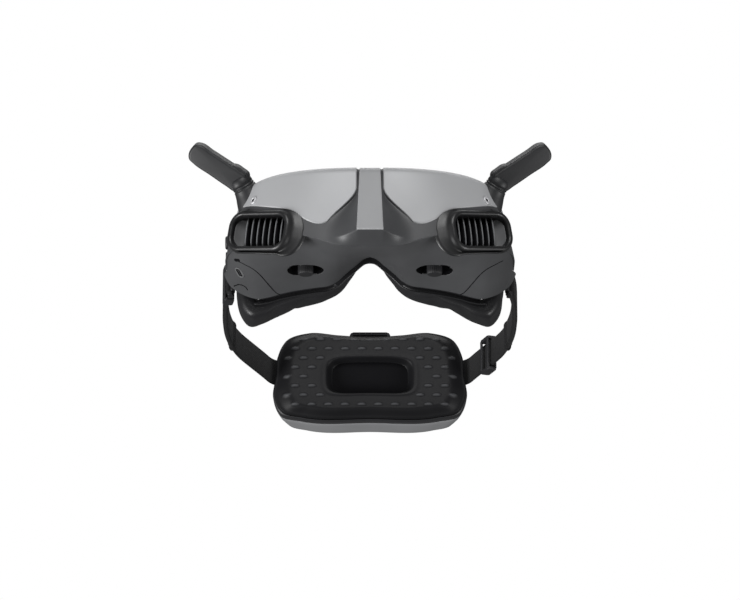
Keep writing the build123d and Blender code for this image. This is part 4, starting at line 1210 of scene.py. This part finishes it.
def make_pad():
    """Soft front of the pack, and a black plate of painted shade at the floor of its recess."""
    nx, nr = 420, 120
    rows = []
    for ox, oz in pack_outline(1.0, 1.0, nx):
        row = []
        for r in np.arange(nr + 1) / nr:
            x, z = ox * r * 0.985, PACK_Z + (oz - PACK_Z) * r * 0.97
            row.append((x, pad_y(x, z, r)[0], z))
        for y, grow in ((186.2, 1.004), (187.6, 1.006), (189.5, 1.006), (190.0, 1.0)):
            row.append((x * grow, y, PACK_Z + (z - PACK_Z) * grow))
        rows.append(row)
    pad = mesh("pack_cushion", np.array(rows).reshape(-1, 3), grid_faces(nx, nr + 5, close_u=True), "pad",
               "headband", "pack_pad")
    # bump height stored per point, used to paint the bumps' highlight into the cushion's colour
    lift = pad.data.attributes.new("lift", "FLOAT", "POINT")
    for v, item in zip(pad.data.vertices, lift.data):
        x, y, z = (c / MM for c in v.co)
        item.value = pad_y(x, z, 0.5)[1] if y < 184 else 0.0
    # black plate in the recess: painted shade
    floor = []
    for t in circle(96):
        c, s = math.cos(t), math.sin(t)
        floor.append((math.copysign(abs(c) ** (2 / ROUND), c) * RECESS[0] * 0.93,
                      math.copysign(abs(s) ** (2 / ROUND), s) * RECESS[1] * 0.93))
    v, f = slab_geometry(floor, (0, 187.3, RECESS[2]), (1, 0, 0), (0, 0, 1), (0, -1, 0), 0.0, 0.3,
                         bevel=0.1, steps=2)
    mesh("pack_recess_shade_floor", v, f, "deep", "headband")


def make_power_button():
    """Domed cap and the bright ring round it, on the back of the pack."""
    ring = [(5.9, -0.8), (5.9, 0.1), (5.6, 0.4), (5.1, 0.4), (4.9, 0.1), (4.9, -0.8)]
    cap = [(5.6, -4.2), (5.6, -3.2), (4.5, -3.1), (4.5, 0.6), (4.3, 0.85), (3.6, 1.0), (1.2, 0.9), (0.2, 0.88)]
    v, f = lathe(ring, POWER_BUTTON_AT, (0, 1, 0))
    mesh("power_button_ring", v, f, "steel", "headband")
    v, f = lathe(cap, POWER_BUTTON_AT, (0, 1, 0))
    mesh("power_button_cap", v, f, "knob", "power_key", "power_button")


def make_bar():
    """Low bar on top of the pack."""
    path = [(-13.0, 15.0), (-13.0, 19.0), (-12.2, 20.3), (-10.6, 20.9), (0, 20.9), (10.6, 20.9), (12.2, 20.3),
            (13.0, 19.0), (13.0, 15.0)]
    # distance out of the path, and place from front to back
    sect = [(0, 190.4), (0.1, 190.2), (0.1, 197.2), (0, 197.4), (1.8, 197.4), (1.9, 197.2), (1.9, 190.4),
            (1.8, 190.2)]
    verts = []
    for i, (x, z) in enumerate(path):
        ahead = np.array(path[min(i + 1, len(path) - 1)]) - np.array(path[max(i - 1, 0)])
        nrm = unit([ahead[1], -ahead[0]])
        verts += [(x + nrm[0] * d, y, z + nrm[1] * d) for d, y in sect]
    bar = mesh("pack_bar", verts, capped_faces(len(path), len(sect)), "loop", "headband", "pack_top_loop")
    weighted(bar, 50)


def make_pack():
    """Rear pack: soft front, button, dark case, grey cover and the bar on top."""
    make_pad()
    make_power_button()
    shell_band("pack_case", [(190.0, 0.985, 0.985), (190.3, 1.0, 1.0), (193, 1.004, 1.003),
                             (197.2, 1.002, 1.001), (197.7, 0.992, 0.992), (197.9, 0.975, 0.97)],
               "pack", "pack_inner_shell", closed=False)
    shell_band("pack_cover", [(197.7, 0.97, 0.965), (198.1, 0.975, 0.972), (198.3, 0.992, 0.99),
                              (198.7, 0.997, 0.997), (202.5, 0.99, 0.995), (207.0, 0.975, 0.995),
                              (208.0, 0.968, 0.994), (213, 0.945, 0.99), (218.2, 0.915, 0.985),
                              (219.4, 0.90, 0.972), (219.9, 0.875, 0.945)],
               "cover", "pack_outer_shell", closed=True)
    make_bar()


make_upper()
make_panels()
make_lower()
make_vents()
make_screws()
make_antennas()
make_foam()
make_rear_frame()
make_outriggers()
make_buckle("left", as_is, (74.76, 155.76), (-0.337632, 0.941278), 13.0)
make_buckle("right", mirror_x, (84.62, 21.075), (0.151425, 0.988469), 10.0)
make_straps()
make_pack()

# ---- camera and light ---------------------------------------------------------------------------
CAMERA_ELEVATION = math.radians(-19.0)
CAMERA_TARGET = np.array([0.0, -50.0, -39.9]) * MM
CAMERA_DISTANCE = 2.2
# name, place, width, height and power
LAMPS = (("key", (0.0, -1.6, 1.0), 0.9, 1.0, 22.0), ("left", (-1.4, -0.5, -0.9), 0.7, 0.8, 31.0),
         ("right", (1.4, -0.5, -0.9), 0.7, 0.8, 15.0), ("top", (0.0, 0.5, 1.4), 1.6, 0.6, 9.0))


def make_camera(scene):
    """Long lens, from below the front."""
    cam = bpy.data.cameras.new("camera")
    cam.lens = 185.2
    cam.sensor_width = 36.0
    cam.clip_end = 20.0
    holder = bpy.data.objects.new("camera", cam)
    ahead = np.array([0, math.cos(CAMERA_ELEVATION), -math.sin(CAMERA_ELEVATION)])
    holder.location = CAMERA_TARGET - ahead * CAMERA_DISTANCE
    holder.rotation_euler = (math.pi / 2 - CAMERA_ELEVATION, 0, 0)
    scene.collection.objects.link(holder)
    scene.camera = holder


def make_world(scene):
    """White to the camera, and a faint white light to everything else."""
    world = bpy.data.worlds.new("studio")
    scene.world = world
    world.use_nodes = True
    nt = world.node_tree
    faint = nt.nodes["Background"]
    seen = nt.nodes.new("ShaderNodeBackground")
    for node, strength in ((faint, 0.12), (seen, 1.0)):
        node.inputs["Color"].default_value = (1, 1, 1, 1)
        node.inputs["Strength"].default_value = strength
    path = nt.nodes.new("ShaderNodeLightPath")
    mix = nt.nodes.new("ShaderNodeMixShader")
    nt.links.new(path.outputs["Is Camera Ray"], mix.inputs[0])
    nt.links.new(faint.outputs[0], mix.inputs[1])
    nt.links.new(seen.outputs[0], mix.inputs[2])
    nt.links.new(mix.outputs[0], nt.nodes["World Output"].inputs["Surface"])


def make_stage():
    """Camera, world and four area lamps aimed at the origin."""
    scene = bpy.context.scene
    scene.view_settings.view_transform = "Standard"
    make_camera(scene)
    make_world(scene)
    for name, at, width, height, power in LAMPS:
        light = bpy.data.lights.new(name, "AREA")
        light.shape = "RECTANGLE"
        light.size = width
        light.size_y = height
        light.energy = power
        lamp = bpy.data.objects.new(name, light)
        lamp.location = at
        lamp.rotation_euler = (-Vector(at)).to_track_quat("-Z", "Y").to_euler()
        scene.collection.objects.link(lamp)


make_stage()
